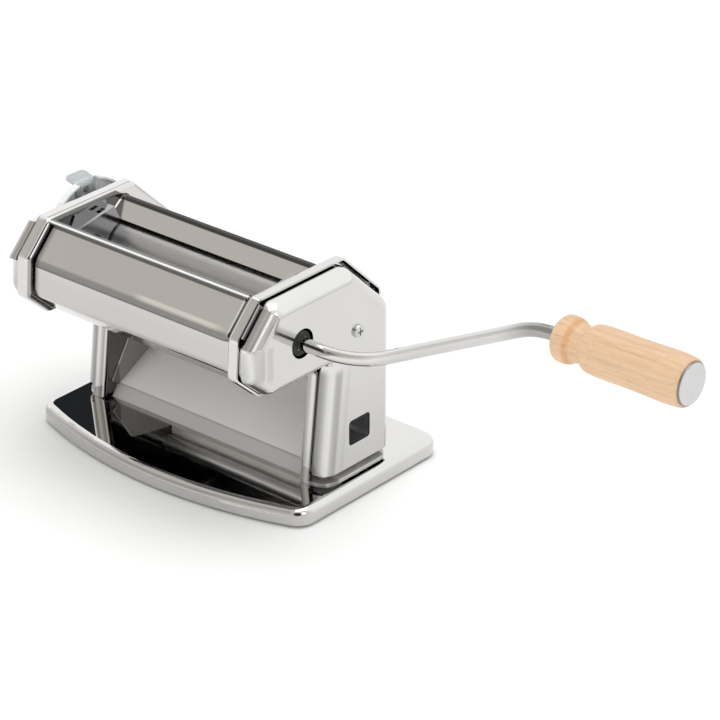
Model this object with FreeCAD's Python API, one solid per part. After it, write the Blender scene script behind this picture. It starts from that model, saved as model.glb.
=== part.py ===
"""Hand cranked pasta machine, built from its separate pressed, turned and bent pieces.

Millimetres. +X runs along the rollers towards the crank, +Y to the back, +Z up.
z = 0 is the table top, and the origin is the middle of the base at table height.
"""
import FreeCAD, Part
import math
import os
from FreeCAD import Vector

# Rollers
ROLLER_LENGTH = 150.0
ROLLER_DIAMETER = 31.0
ROLLER_GAP = 1.0
ROLLER_END_GAP = 3.0
ROLLER_EDGE = 0.6
JOURNAL_DIAMETER = 10.0
AXIS_HEIGHT = 114.0
FRONT_AXIS_Y = -42.8
REAR_AXIS_Y = FRONT_AXIS_Y + ROLLER_DIAMETER + ROLLER_GAP
ROLLER_RADIUS = ROLLER_DIAMETER / 2

# Fits and clearances, all radial or face to face
RUNNING_FIT = 0.05
SEAT_FIT = 0.02
PART_GAP = 0.3
END_PLAY = 0.7
HOLE_CLEARANCE = 0.5

# Sheets
FRAME_SHEET = 1.2
COVER_SHEET = 1.0
SKIN_SHEET = 1.0
CHUTE_SHEET = 1.0
BASE_SHEET = 1.2
GUIDE_SHEET = 1.2
DIAL_SHEET = 1.2
LEVER_SHEET = 1.5
RAIL_SHEET = 1.2
CLAMP_TUBE_SHEET = 1.5
BRACKET_SHEET = 2.0
BLADE_SHEET = 0.8

# Side frame: its head follows the rollers, its leg and foot stand on the base
FRAME_BOTTOM_Z = 12.0
HEAD_BELOW_AXIS = 28.0
HEAD_ABOVE_AXIS = 32.0
HEAD_BOTTOM_Z = AXIS_HEIGHT - HEAD_BELOW_AXIS
FRAME_TOP_Z = AXIS_HEIGHT + HEAD_ABOVE_AXIS
FRAME_FOOT_FRONT_Y = -26.3
LEG_WIDTH = 65.0
LEG_TAPER = 9.0
FRAME_LEG_TOP_Y = FRAME_FOOT_FRONT_Y + LEG_TAPER
FRAME_BACK_Y = FRAME_FOOT_FRONT_Y + LEG_WIDTH
REAR_SLOPE_DEGREES = 43.4
REAR_SLOPE_TOP_Y = REAR_AXIS_Y + 17.2
SLOPE_TOP_Y = FRONT_AXIS_Y - 22.5
SLOPE_FOOT = (FRONT_AXIS_Y - 41.0, AXIS_HEIGHT + 13.0)
NOSE = (FRONT_AXIS_Y - 43.0, AXIS_HEIGHT - 11.5)
CHIN = (FRONT_AXIS_Y - 24.5, HEAD_BOTTOM_Z)
FRAME_FLANGE_REACH = 8.4
LUG_REACH = 10.2
LUG_ROLL = 3.2
LUG_END_GAP = 2.5
FRAME_BEND = 3.6
FRAME_CORNER = 5.0
FOOT_FLANGE_REACH = 19.4
FOOT_FLANGE_SET_BACK = 3.0
FOOT_CORNER = 10.0

# Side covers, nested in the frame's flange. One inset for each side of the outline
COVER_DEPTH = 20.0
COVER_STAND_OFF = 1.8
COVER_ROUND = 10.0
COVER_INSET = 1.6
COVER_INSET_TOP = 2.3
COVER_INSET_BACK = 2.0
COVER_INSET_REAR_SLOPE = 4.6
COVER_INSET_SLOPE = 3.6
COVER_BOTTOM_GAP = 6.4
CRANK_HOLE_DIAMETER = 18.0
CLAMP_HOLE = (18.5, 16.0)
CLAMP_HOLE_CENTRE = (FRAME_FOOT_FRONT_Y + 32.5, FRAME_BOTTOM_Z + 28.0)
CLAMP_HOLE_CORNER = 2.5
SCREW_DIAMETER = 4.0
SCREW_HEAD_DIAMETER = 8.0
SCREW_HEAD_HEIGHT = 2.2
SCREW_RECESS = 1.2
SCREW_RECESS_LENGTH = 4.6
RIGHT_SCREW = (REAR_AXIS_Y + 15.5, AXIS_HEIGHT - 10.0)
LEFT_SCREW = (REAR_AXIS_Y + 21.0, AXIS_HEIGHT - 37.0)
BRACKET_WIDTH = 12.0

# Hook rails for the cutting attachment, set into the covers on the front slopes
RAIL_STAND_IN = 2.2
RAIL_GAP = 0.6
RAIL_DEPTH = 8.4
RAIL_WEB = 12.0
RAIL_ROUND = 5.6
RAIL_EDGE = 1.6
RAIL_TOP_START = 4.0
RAIL_OVERHANG = 2.6
RAIL_SLIT = 0.5
RAIL_FACE_GAP = 1.0
HOOK_SLOT = 4.6

# Front skin between the side frames, one inset for each of its three faces
FRONT_SKIN_INSETS = (2.7, 2.6, 3.8)
FRONT_BEAD = 3.2
FRONT_BEND = 9.0
HEM = 4.0

# Rear skin and the guard lip over the rear roller
REAR_SKIN_BACK = 5.5
REAR_SKIN_SLOPE = 6.2
REAR_SKIN_TOP = 8.4
REAR_HEM_DROP = 18.0
REAR_HEM = 7.5
REAR_LIP_GAP = 2.0
REAR_LIP_DEGREES = 103.6
REAR_CREST = 4.5

# Chute: back wall, sloping plate, fold and foot, with a cheek at each end
CHUTE_FOLD = (FRAME_FOOT_FRONT_Y + 12.1, FRAME_BOTTOM_Z + 6.9)
CHUTE_DEGREES = 27.1
CHUTE_FOOT_Y = FRAME_FOOT_FRONT_Y + 7.0
CHUTE_BACK_Y = FRAME_BACK_Y - REAR_SKIN_BACK - SKIN_SHEET
CHUTE_BEND = 2.0
CHEEK_HEIGHT = 10.6
CHEEK_TIP = (10.6, 28.2)
CHEEK_FRONT_HEIGHT = 3.9

# Base
BASE_OVERHANG = 8.0
BASE_DEPTH = 145.0
BASE_FRONT_RADIUS = 285.0
BASE_SKIRT_Z = 2.0
BASE_ROUND = 5.0
BASE_CORNER = 12.0
FOOT_PAD_DIAMETER = 16.0
FOOT_PAD_INSET = (22.0, 26.0)
FOOT_PAD_FRONT_EXTRA = 8.0

# Fasteners and spacers
TIE_ROD_DIAMETER = 8.0
TIE_SCREW_DIAMETER = 5.0
TIE_SCREW_HEAD = 9.0
TIE_SCREW_HEAD_HEIGHT = 3.0
TIE_SCREW_LENGTH = 8.0
TIE_RODS = [
    (FRONT_AXIS_Y - 24.0, AXIS_HEIGHT - 15.0),
    (FRAME_BACK_Y - 11.0, HEAD_BOTTOM_Z - 24.0),
    (FRAME_BACK_Y - 15.0, FRAME_BOTTOM_Z + 11.0),
]
BUSH_DIAMETER = 16.0
BUSH_FLANGE = 21.0
BUSH_FLANGE_THICKNESS = 1.5
RIVET_DIAMETER = 4.0
RIVET_INSET = 8.6
RIVET_HEAD = 7.0
RIVET_HEAD_HEIGHT = 1.4
RIVETS_Y = [FRAME_FOOT_FRONT_Y + step for step in (12.5, 32.5, 52.5)]

# Gear pair on the crank side
GEAR_TEETH = 16
GEAR_ADDENDUM = 1.6
GEAR_DEDENDUM = 2.55
GEAR_WIDTH = 6.0
GEAR_STAND_OFF = 2.8
GEAR_BACKLASH = 0.92
PRESSURE_ANGLE = 20.0

# Thickness setting
ECCENTRICITY = 1.8
ECCENTRIC_DIAMETER = 24.0
ECCENTRIC_DISC = 2.0
SLEEVE_WALL = 2.0
ARM_THICKNESS = 1.4
ARM_WIDTH = 11.0
LINK_ROD_DIAMETER = 6.0
LINK_ROD_RADIUS = 22.0
DIAL_DIAMETER = 69.2
DIAL_HEIGHT = 6.0
DIAL_STAND_OFF = 0.8
DIAL_TRAVEL = 3.0
DIAL_SHAFT_DIAMETER = 10.0
DIAL_FLAT = 3.6
DIAL_HUB_WALL = 3.0
DIAL_SCREW_HEAD = 13.0
DIAL_SCREW_HEAD_HEIGHT = 2.6
PEG_DIAMETER = 3.0
PIN_HEAD_EXTRA = 1.6
PEG_RADIUS = 22.0
LEVER_PIN_DIAMETER = 2.8
LEVER_PIN_RADIUS = 27.0
LEVER_PIN_HOLE = 4.8
PEG_SCALLOP = 0.9
SETTINGS_DEGREES = (-44.0, -33.0, -22.0, -11.0, 0.0, 11.0, 22.0)
LEVER_WIDTH = 16.0
LEVER_BOTTOM = 18.0
LEVER_TOP = 31.6
LEVER_TIP = (9.0, 2.4)
LEVER_BEND = 2.6
LEVER_CORNER = 3.0
LEVER_NOTCH = 29.4

# Scrapers and dough guides
SCRAPER_GAP = 0.6
SCRAPER_DEGREES = 250.0
SCRAPER_SLOPE_DEGREES = 210.6
SCRAPER_LENGTH = 9.6
SCRAPER_FOOT = 3.6
REAR_SCRAPER_GAP = 4.4
GUIDE_INSET = 8.0
GUIDE_FRONT = (FRONT_AXIS_Y - 6.5, AXIS_HEIGHT + 22.3)
GUIDE_REAR = (FRONT_AXIS_Y + 23.4, AXIS_HEIGHT + 27.1)
GUIDE_SLOT = (5.5, 3.0)
GUIDE_ROLLER_GAP = 0.6

# Crank and handle
ROD_DIAMETER = 8.0
CRANK_RADIUS = 63.0
CRANK_SLOPE = 26.8
CRANK_FIRST_REACH = 38.5
CRANK_BENDS = (108.0, 54.0)
DRIVE_SQUARE = 6.2
DRIVE_LENGTH = 8.0
SOCKET_DIAMETER = 15.0
HANDLE_REACH = 179.7
HANDLE_LENGTH = 84.0
HANDLE_DIAMETER = 27.8
BEAD_DIAMETER = 26.0
NECK_DIAMETER = 20.8
CAP_DIAMETER = 24.0
CAP_THICKNESS = 1.2
PIN_DIAMETER = 6.0
PIN_COLLAR = 11.0
PIN_HEAD = 11.0
PIN_HEAD_THICKNESS = 2.0

# Places that follow
FRAME_X = ROLLER_LENGTH / 2 + ROLLER_END_GAP
PLATE_X = FRAME_X + FRAME_SHEET
FACE_X = FRAME_X + COVER_DEPTH
COVER_BACK_X = FACE_X - COVER_SHEET
COVER_BOTTOM_Z = FRAME_BOTTOM_Z + COVER_BOTTOM_GAP
RIVET_X = FRAME_X + RIVET_INSET
RAIL_X = FRAME_X + LUG_REACH + RAIL_GAP
GEAR_X = PLATE_X + GEAR_STAND_OFF
SOCKET_X = GEAR_X + GEAR_WIDTH
PIVOT_Z = AXIS_HEIGHT - ECCENTRICITY
DIAL_BACK_X = FACE_X + DIAL_STAND_OFF
DIAL_FACE_X = DIAL_BACK_X + DIAL_HEIGHT
DIAL_STOP_X = DIAL_FACE_X + DIAL_TRAVEL
LEVER_X = DIAL_FACE_X - DIAL_SHEET - LEVER_SHEET
GUIDE_X = FRAME_X - GUIDE_INSET
BASE_WIDTH = 2 * (FACE_X + BASE_OVERHANG)
BASE_FRONT_Y = -BASE_DEPTH / 2
CRANK_FIRST_BEND_X = FACE_X + CRANK_FIRST_REACH
HANDLE_START_X = FACE_X + HANDLE_REACH
HANDLE_Z = AXIS_HEIGHT + CRANK_RADIUS


def add(shape, name, mirrored=False):
    """Write one named piece."""
    if mirrored:
        shape = shape.mirror(Vector(0, 0, 0), Vector(1, 0, 0))
    solids = shape.Solids
    for solid in solids:
        if not solid.isValid() or solid.Volume <= 0:
            raise ValueError(name + " has a bad solid")
    result = solids[0] if len(solids) == 1 else Part.makeCompound(solids)
    result.exportStep("parts/" + name + ".step")
    box = result.BoundBox
    print("%-22s %2d solids %10.1f mm3  x %.1f..%.1f  y %.1f..%.1f  z %.1f..%.1f" % (
        name, len(solids), result.Volume, box.XMin, box.XMax, box.YMin, box.YMax, box.ZMin, box.ZMax))
    return result


def both_sides(shape):
    """The piece and its mirror image, as one group."""
    return Part.makeCompound([shape, shape.mirror(Vector(0, 0, 0), Vector(1, 0, 0))])


def unit(a, b):
    """Unit vector from a to b in the (y, z) plane."""
    length = math.hypot(b[0] - a[0], b[1] - a[1])
    return ((b[0] - a[0]) / length, (b[1] - a[1]) / length)


def meet(p, d, q, e):
    """Where the line through p along d meets the line through q along e."""
    cross = d[0] * e[1] - d[1] * e[0]
    t = ((q[0] - p[0]) * e[1] - (q[1] - p[1]) * e[0]) / cross
    return (p[0] + d[0] * t, p[1] + d[1] * t)


def inset(points, distances):
    """Move each edge of a closed anticlockwise outline inwards by its own distance."""
    count = len(points)
    lines = []
    for i in range(count):
        d = unit(points[i], points[(i + 1) % count])
        shift = distances[i]
        lines.append(((points[i][0] - d[1] * shift, points[i][1] + d[0] * shift), d))
    return [meet(*lines[i - 1], *lines[i]) for i in range(count)]


def offset_path(points, distance):
    """Move an open path to its left by a distance."""
    lines = []
    for a, b in zip(points, points[1:]):
        d = unit(a, b)
        lines.append(((a[0] - d[1] * distance, a[1] + d[0] * distance), d))
    moved = [lines[0][0]]
    for first, second in zip(lines, lines[1:]):
        moved.append(meet(*first, *second))
    end = lines[-1][1]
    moved.append((points[-1][0] - end[1] * distance, points[-1][1] + end[0] * distance))
    return moved


def outline(points, radii, x):
    """Closed wire in the plane x, each corner rounded by its own radius (0 is sharp)."""
    edges = []
    count = len(points)
    starts = []
    ends = []
    middles = []
    for i in range(count):
        before, here, after = points[i - 1], points[i], points[(i + 1) % count]
        u = unit(here, before)
        w = unit(here, after)
        cosine = max(-1.0, min(1.0, u[0] * w[0] + u[1] * w[1]))
        half = math.acos(cosine) / 2
        radius = radii[i]
        if radius <= 0:
            starts.append(here)
            ends.append(here)
            middles.append(None)
            continue
        reach = radius / math.tan(half)
        start = (here[0] + u[0] * reach, here[1] + u[1] * reach)
        end = (here[0] + w[0] * reach, here[1] + w[1] * reach)
        bisector = unit((0, 0), (u[0] + w[0], u[1] + w[1]))
        depth = radius / math.sin(half) - radius
        starts.append(start)
        ends.append(end)
        middles.append((here[0] + bisector[0] * depth, here[1] + bisector[1] * depth))
    for i in range(count):
        if middles[i]:
            arc = Part.Arc(*[Vector(x, p[0], p[1]) for p in (starts[i], middles[i], ends[i])])
            edges.append(arc.toShape())
        a = ends[i]
        b = starts[(i + 1) % count]
        if math.hypot(a[0] - b[0], a[1] - b[1]) > 1e-6:
            edges.append(Part.makeLine(Vector(x, *a), Vector(x, *b)))
    return Part.Wire(edges)


def prism(points, radii, x0, x1):
    """Solid between the planes x0 and x1 with a rounded (y, z) outline."""
    return Part.Face(outline(points, radii, x0)).extrude(Vector(x1 - x0, 0, 0))


def rounded_rim(solid, x, radius):
    """Round every edge of the solid that lies in the plane x."""
    edges = [e for e in solid.Edges if abs(e.BoundBox.XMin - x) < 1e-6 and abs(e.BoundBox.XMax - x) < 1e-6]
    return solid.makeFillet(radius, edges)


def strip(path, thickness, radii, x0, x1):
    """Bent sheet along an open (y, z) path, its thickness laid to the left of the path."""
    inner = offset_path(path, thickness)
    turned = []
    for i, radius in enumerate(radii):
        a, b, c = path[i], path[i + 1], path[i + 2]
        turn = (b[0] - a[0]) * (c[1] - b[1]) - (b[1] - a[1]) * (c[0] - b[0])
        turned.append(max(radius - thickness, 0.2) if turn > 0 else radius + thickness)
    points = list(path) + inner[::-1]
    corner = [0] + list(radii) + [0, 0] + turned[::-1] + [0]
    return prism(points, corner, x0, x1)


def polar(y, z, radius, degrees):
    """Point at a radius and angle from (y, z)."""
    return (y + radius * math.cos(math.radians(degrees)), z + radius * math.sin(math.radians(degrees)))


def rod(diameter, y, z, x0, x1):
    """Round bar along X."""
    return Part.makeCylinder(diameter / 2, x1 - x0, Vector(x0, y, z), Vector(1, 0, 0))


def box(x0, x1, y0, y1, z0, z1):
    """Box between two corners."""
    return Part.makeBox(x1 - x0, y1 - y0, z1 - z0, Vector(x0, y0, z0))


def frame_outline():
    """Corners of the side frame, anticlockwise from the front of the foot."""
    slope_drop = (FRAME_BACK_Y - REAR_SLOPE_TOP_Y) * math.tan(math.radians(REAR_SLOPE_DEGREES))
    return [
        (FRAME_FOOT_FRONT_Y, FRAME_BOTTOM_Z),
        (FRAME_BACK_Y, FRAME_BOTTOM_Z),
        (FRAME_BACK_Y, FRAME_TOP_Z - slope_drop),
        (REAR_SLOPE_TOP_Y, FRAME_TOP_Z),
        (SLOPE_TOP_Y, FRAME_TOP_Z),
        SLOPE_FOOT,
        NOSE,
        CHIN,
        (FRAME_LEG_TOP_Y, HEAD_BOTTOM_Z),
    ]


def slope_point(along, depth):
    """Point on the front slope: a distance down from its top, and a depth below it."""
    top = (SLOPE_TOP_Y, FRAME_TOP_Z)
    d = unit(top, SLOPE_FOOT)
    return (top[0] + d[0] * along - d[1] * depth, top[1] + d[1] * along + d[0] * depth)


def slope_length():
    return math.hypot(SLOPE_FOOT[0] - SLOPE_TOP_Y, SLOPE_FOOT[1] - FRAME_TOP_Z)


def on_slope(shape):
    """Place a piece drawn as (distance down the slope, x outwards, height) on the front slope."""
    d = unit((SLOPE_TOP_Y, FRAME_TOP_Z), SLOPE_FOOT)
    shape.Placement = FreeCAD.Placement(FreeCAD.Matrix(
        0, 1, 0, 0,
        d[0], 0, d[1], SLOPE_TOP_Y,
        d[1], 0, -d[0], FRAME_TOP_Z,
        0, 0, 0, 1))
    return shape


def slope_lug():
    """Wider part of the frame's flange on the front slope, its outer edge rolled down."""
    outside = FRAME_X + LUG_REACH
    path = [(outside, -LUG_ROLL), (outside, 0), (FRAME_X + FRAME_BEND, 0)]
    return on_slope(strip(path, FRAME_SHEET, [LUG_ROLL], LUG_END_GAP, slope_length() - LUG_END_GAP))


def side_frame():
    """Pressed plate with an outward flange all round and a longer foot flange."""
    points = frame_outline()
    foot_corner = 0.5
    radii = [foot_corner] + [FRAME_CORNER] * 7 + [FRAME_CORNER + FRAME_SHEET]
    outer = prism(points, radii, FRAME_X, FRAME_X + FRAME_FLANGE_REACH)
    outer = rounded_rim(outer, FRAME_X, FRAME_BEND)
    inner_points = inset(points, [FRAME_SHEET] * len(points))
    inner_radii = [foot_corner] + [FRAME_CORNER - FRAME_SHEET] * 7 + [FRAME_CORNER + 2 * FRAME_SHEET]
    inner = prism(inner_points, inner_radii, PLATE_X, FRAME_X + FRAME_FLANGE_REACH + 1)
    shell = outer.cut(rounded_rim(inner, PLATE_X, FRAME_BEND - FRAME_SHEET))
    foot = box(FRAME_X + FRAME_FLANGE_REACH - 1, FRAME_X + FOOT_FLANGE_REACH,
               FRAME_FOOT_FRONT_Y + FOOT_FLANGE_SET_BACK, FRAME_BACK_Y - FRAME_BEND, FRAME_BOTTOM_Z, FRAME_BOTTOM_Z + FRAME_SHEET)
    corners = [e for e in foot.Edges if e.BoundBox.ZLength > 1 and e.BoundBox.XMin > FRAME_X + FOOT_FLANGE_REACH - 1]
    shell = shell.multiFuse([foot.makeFillet(FOOT_CORNER, corners), slope_lug()]).removeSplitter()
    holes = [rod(BUSH_DIAMETER + 2 * SEAT_FIT, FRONT_AXIS_Y, AXIS_HEIGHT, FRAME_X - 1, PLATE_X + 1)]
    holes.append(rod(ECCENTRIC_DIAMETER + 2 * RUNNING_FIT, REAR_AXIS_Y, PIVOT_Z, FRAME_X - 1, PLATE_X + 1))
    for y, z in TIE_RODS:
        holes.append(rod(TIE_SCREW_DIAMETER + 2 * SEAT_FIT, y, z, FRAME_X - 1, PLATE_X + 1))
    for y in RIVETS_Y:
        holes.append(Part.makeCylinder(RIVET_DIAMETER / 2 + SEAT_FIT, 4, Vector(RIVET_X, y, FRAME_BOTTOM_Z - 1)))
    return shell.cut(Part.makeCompound(holes))


def cover_solid(extra, rim):
    """Rounded block with the cover's outline, set in by `extra` more than its outside."""
    points = frame_outline()
    below_the_foot = -20.0
    distances = [
        below_the_foot,
        COVER_INSET_BACK + extra,
        COVER_INSET_REAR_SLOPE + extra,
        COVER_INSET_TOP + extra,
        COVER_INSET_SLOPE + extra,
        COVER_INSET + extra,
        COVER_INSET + extra,
        COVER_INSET + extra,
        COVER_INSET + extra,
    ]
    convex = COVER_ROUND + 0.6 - extra
    radii = [convex] * 8 + [COVER_INSET + extra]
    start = PLATE_X + COVER_STAND_OFF - extra
    return rounded_rim(prism(inset(points, distances), radii, start, FACE_X - extra), FACE_X - extra, rim)


def clamp_hole_points(grow):
    """Corners of the clamp hole in (y, z)."""
    y, z = CLAMP_HOLE_CENTRE
    half_y = CLAMP_HOLE[0] / 2 + grow
    half_z = CLAMP_HOLE[1] / 2 + grow
    return [(y - half_y, z - half_z), (y + half_y, z - half_z), (y + half_y, z + half_z), (y - half_y, z + half_z)]


def clamp_hole():
    return prism(clamp_hole_points(0), [CLAMP_HOLE_CORNER] * 4, COVER_BACK_X - 4, FACE_X + 2)


def hook_slot_z():
    """Height of the hook slot's lower edge in the cover."""
    return SLOPE_FOOT[1] - HOOK_SLOT


def rail_window():
    """Cut in the cover for the hook rail, ending in the hook slot under the rail's lip."""
    deep = RAIL_DEPTH + RAIL_SLIT
    start = RAIL_TOP_START - RAIL_SLIT
    front = NOSE[0] - 5
    slot_z = hook_slot_z()
    corner = meet(slope_point(0, deep), unit(slope_point(0, deep), slope_point(1, deep)), (0, slot_z), (1, 0))
    points = [slope_point(start, -2), (front, SLOPE_FOOT[1]), (front, slot_z), corner, slope_point(start, deep)]
    return prism(points, [0] * 5, RAIL_X, FACE_X + 1)


def side_cover(screw):
    """Deep drawn cover, open towards the frame and at the bottom."""
    shell = cover_solid(0, COVER_ROUND).cut(cover_solid(COVER_SHEET, COVER_ROUND - COVER_SHEET))
    below = box(FRAME_X, FACE_X + 1, NOSE[0] - 5, FRAME_BACK_Y + 5, FRAME_BOTTOM_Z - 40, COVER_BOTTOM_Z)
    screw_hole = rod(SCREW_DIAMETER + HOLE_CLEARANCE, screw[0], screw[1], COVER_BACK_X - 1, FACE_X + 1)
    return shell.cut(below).cut(clamp_hole()).cut(screw_hole).cut(rail_window())


def peg_slot():
    """Arc slot for the dial's peg, with a scallop at each setting."""
    width = PEG_DIAMETER / 2 + HOLE_CLEARANCE
    start = math.radians(90 + SETTINGS_DEGREES[0])
    end = math.radians(90 + SETTINGS_DEGREES[-1])
    ring = rod(2 * (PEG_RADIUS + width), REAR_AXIS_Y, PIVOT_Z, COVER_BACK_X - 1, FACE_X + 1)
    ring = ring.cut(rod(2 * (PEG_RADIUS - width), REAR_AXIS_Y, PIVOT_Z, COVER_BACK_X - 2, FACE_X + 2))
    reach = DIAL_DIAMETER
    wedge = [(REAR_AXIS_Y, PIVOT_Z)]
    for angle in (start, (start + end) / 2, end):
        wedge.append((REAR_AXIS_Y + reach * math.cos(angle), PIVOT_Z + reach * math.sin(angle)))
    slot = ring.common(prism(wedge, [0] * 4, COVER_BACK_X - 3, FACE_X + 3))
    ends = []
    for degrees in SETTINGS_DEGREES:
        angle = math.radians(90 + degrees)
        out = PEG_RADIUS if degrees in (SETTINGS_DEGREES[0], SETTINGS_DEGREES[-1]) else PEG_RADIUS + PEG_SCALLOP
        y = REAR_AXIS_Y + out * math.cos(angle)
        z = PIVOT_Z + out * math.sin(angle)
        ends.append(rod(2 * width, y, z, COVER_BACK_X - 1, FACE_X + 1))
    return slot.multiFuse(ends)


def screw_bracket(y, z):
    """Z-bent strip that carries the cover screw, clear of the gears."""
    half = BRACKET_WIDTH / 2
    riser_y = y + 11.5
    back = riser_y - BRACKET_SHEET
    foot = box(PLATE_X, PLATE_X + BRACKET_SHEET, back, riser_y + 12.5, z - half, z + half)
    riser = box(PLATE_X, COVER_BACK_X, back, riser_y, z - half, z + half)
    tab = box(COVER_BACK_X - BRACKET_SHEET, COVER_BACK_X, y - half, riser_y, z - half, z + half)
    bracket = foot.fuse(riser).fuse(tab).removeSplitter()
    return bracket.cut(rod(SCREW_DIAMETER + 2 * SEAT_FIT, y, z, COVER_BACK_X - 6, COVER_BACK_X + 1))


def cover_screw(y, z):
    """Pan head screw with a cross recess."""
    head = rod(SCREW_HEAD_DIAMETER, y, z, FACE_X, FACE_X + SCREW_HEAD_HEIGHT)
    head = rounded_rim(head, FACE_X + SCREW_HEAD_HEIGHT, 1.4)
    shank = rod(SCREW_DIAMETER, y, z, COVER_BACK_X - 4, FACE_X + 0.5)
    bottom = FACE_X + SCREW_HEAD_HEIGHT - SCREW_RECESS
    arm = SCREW_RECESS_LENGTH / 2
    cross = box(bottom, FACE_X + 5, y - arm, y + arm, z - 0.5, z + 0.5)
    other = box(bottom, FACE_X + 5, y - 0.5, y + 0.5, z - arm, z + arm)
    return head.fuse(shank).cut(cross.fuse(other)).removeSplitter()


def attachment_rail():
    """Bent hook rail: level top, rounded down on its outside, a web on its inside, its lower end a free lip."""
    outside = FACE_X - RAIL_FACE_GAP
    path = [(outside, -RAIL_DEPTH), (outside, -RAIL_STAND_IN), (RAIL_X, -RAIL_STAND_IN), (RAIL_X, -RAIL_WEB)]
    rail = on_slope(strip(path, RAIL_SHEET, [RAIL_ROUND, RAIL_EDGE], RAIL_TOP_START,
                          slope_length() + RAIL_OVERHANG))
    below = box(RAIL_X - 1, FACE_X + 1, NOSE[0] - 5, SLOPE_TOP_Y, HEAD_BOTTOM_Z, hook_slot_z() + RAIL_SLIT)
    return rail.cut(below)


def front_cover():
    """Bent front skin, set in from the frame's outline, with a rolled top edge."""
    slope, nose, chin = FRONT_SKIN_INSETS
    points = frame_outline()
    inner = inset(points, [0, 0, 0, SKIN_SHEET, slope, nose, chin, SKIN_SHEET, 0])
    bead_y, bead_z = SLOPE_TOP_Y + 1.3, FRAME_TOP_Z - FRONT_BEAD / 2 - 0.1
    crest = slope_point(3.0, slope)
    path = [(bead_y, bead_z), crest, inner[5], inner[6], inner[7], (inner[7][0] + HEM, inner[7][1])]
    skin = strip(path, SKIN_SHEET, [1.4, FRONT_BEND, FRONT_BEND, 2 * SKIN_SHEET], -FRAME_X, FRAME_X)
    bead = rod(FRONT_BEAD, bead_y, bead_z, -FRAME_X, FRAME_X)
    return skin.fuse(bead).removeSplitter()


def rear_cover():
    """Bent rear skin, with the guard lip that leads down to the rear roller."""
    points = frame_outline()
    inner = inset(points, [0, REAR_SKIN_BACK, REAR_SKIN_SLOPE, REAR_SKIN_TOP, 0, 0, 0, 0, 0])
    hem_z = HEAD_BOTTOM_Z - REAR_HEM_DROP
    lip = polar(REAR_AXIS_Y, AXIS_HEIGHT, ROLLER_RADIUS + REAR_LIP_GAP, REAR_LIP_DEGREES)
    crest = (REAR_AXIS_Y + REAR_CREST, inner[3][1])
    path = [(inner[2][0] - REAR_HEM, hem_z), (inner[2][0], hem_z), inner[2], inner[3], crest, lip]
    return strip(path, SKIN_SHEET, [2.0, 4.0, 2.0, 2.0], -FRAME_X, FRAME_X)


def chute():
    """Back wall and sloping plate that lead the dough out to the front, with a cheek at each end."""
    rise = math.tan(math.radians(CHUTE_DEGREES))
    fold_y, fold_z = CHUTE_FOLD
    back_z = fold_z + (CHUTE_BACK_Y - fold_y) * rise
    path = [(CHUTE_BACK_Y, HEAD_BOTTOM_Z - REAR_HEM_DROP), (CHUTE_BACK_Y, back_z), CHUTE_FOLD,
            (CHUTE_FOOT_Y, FRAME_BOTTOM_Z)]
    plate = strip(path, CHUTE_SHEET, [CHUTE_BEND, CHUTE_BEND], -FRAME_X, FRAME_X)
    cheek_back = CHUTE_BACK_Y - CHUTE_SHEET
    low_z = fold_z - CHUTE_SHEET / 2
    high_z = low_z + (cheek_back - fold_y) * rise
    tip_y, tip_height = CHEEK_TIP
    cheek_points = [(fold_y, low_z), (cheek_back, high_z), (cheek_back, high_z + CHEEK_HEIGHT),
                    (fold_y + tip_y, low_z + tip_height), (CHUTE_FOOT_Y, low_z + CHEEK_FRONT_HEIGHT)]
    cheek = prism(cheek_points, [0, 0, 3, 3, 1], FRAME_X - CHUTE_SHEET, FRAME_X)
    other = cheek.mirror(Vector(0, 0, 0), Vector(1, 0, 0))
    below = box(-FRAME_X - 1, FRAME_X + 1, FRAME_FOOT_FRONT_Y - 30, FRAME_BACK_Y, FRAME_BOTTOM_Z - 20, FRAME_BOTTOM_Z)
    return plate.fuse(cheek).fuse(other).removeSplitter().cut(below)


def base_outline(grow):
    """Base outline in plan: straight sides and back, a gently bowed front."""
    half = BASE_WIDTH / 2 + grow
    front = BASE_FRONT_Y - grow
    radius = BASE_FRONT_RADIUS + grow
    drop = radius - math.sqrt(radius ** 2 - half ** 2)
    back = BASE_DEPTH / 2 + grow
    left, right = (-half, front + drop), (half, front + drop)
    z = BASE_SKIRT_Z
    edges = [
        Part.Arc(Vector(left[0], left[1], z), Vector(0, front, z), Vector(right[0], right[1], z)).toShape(),
        Part.makeLine(Vector(right[0], right[1], z), Vector(half, back, z)),
        Part.makeLine(Vector(half, back, z), Vector(-half, back, z)),
        Part.makeLine(Vector(-half, back, z), Vector(left[0], left[1], z)),
    ]
    return Part.Wire(edges)


def base_solid(grow):
    """Block with the base outline and rounded top and corners."""
    top = FRAME_BOTTOM_Z + grow
    block = Part.Face(base_outline(grow)).extrude(Vector(0, 0, top - BASE_SKIRT_Z))
    upright = [e for e in block.Edges if e.BoundBox.ZLength > 1]
    block = block.makeFillet(BASE_CORNER + grow, upright)
    rim = [e for e in block.Edges if e.BoundBox.ZMin > top - 1e-4]
    return block.makeFillet(BASE_ROUND + grow, rim)


def base_tray():
    """Pressed base, open underneath."""
    tray = base_solid(0).cut(base_solid(-BASE_SHEET))
    for y in RIVETS_Y:
        for x in (-RIVET_X, RIVET_X):
            tray = tray.cut(Part.makeCylinder(RIVET_DIAMETER / 2 + SEAT_FIT, 4, Vector(x, y, FRAME_BOTTOM_Z - 3)))
    return tray


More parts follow.
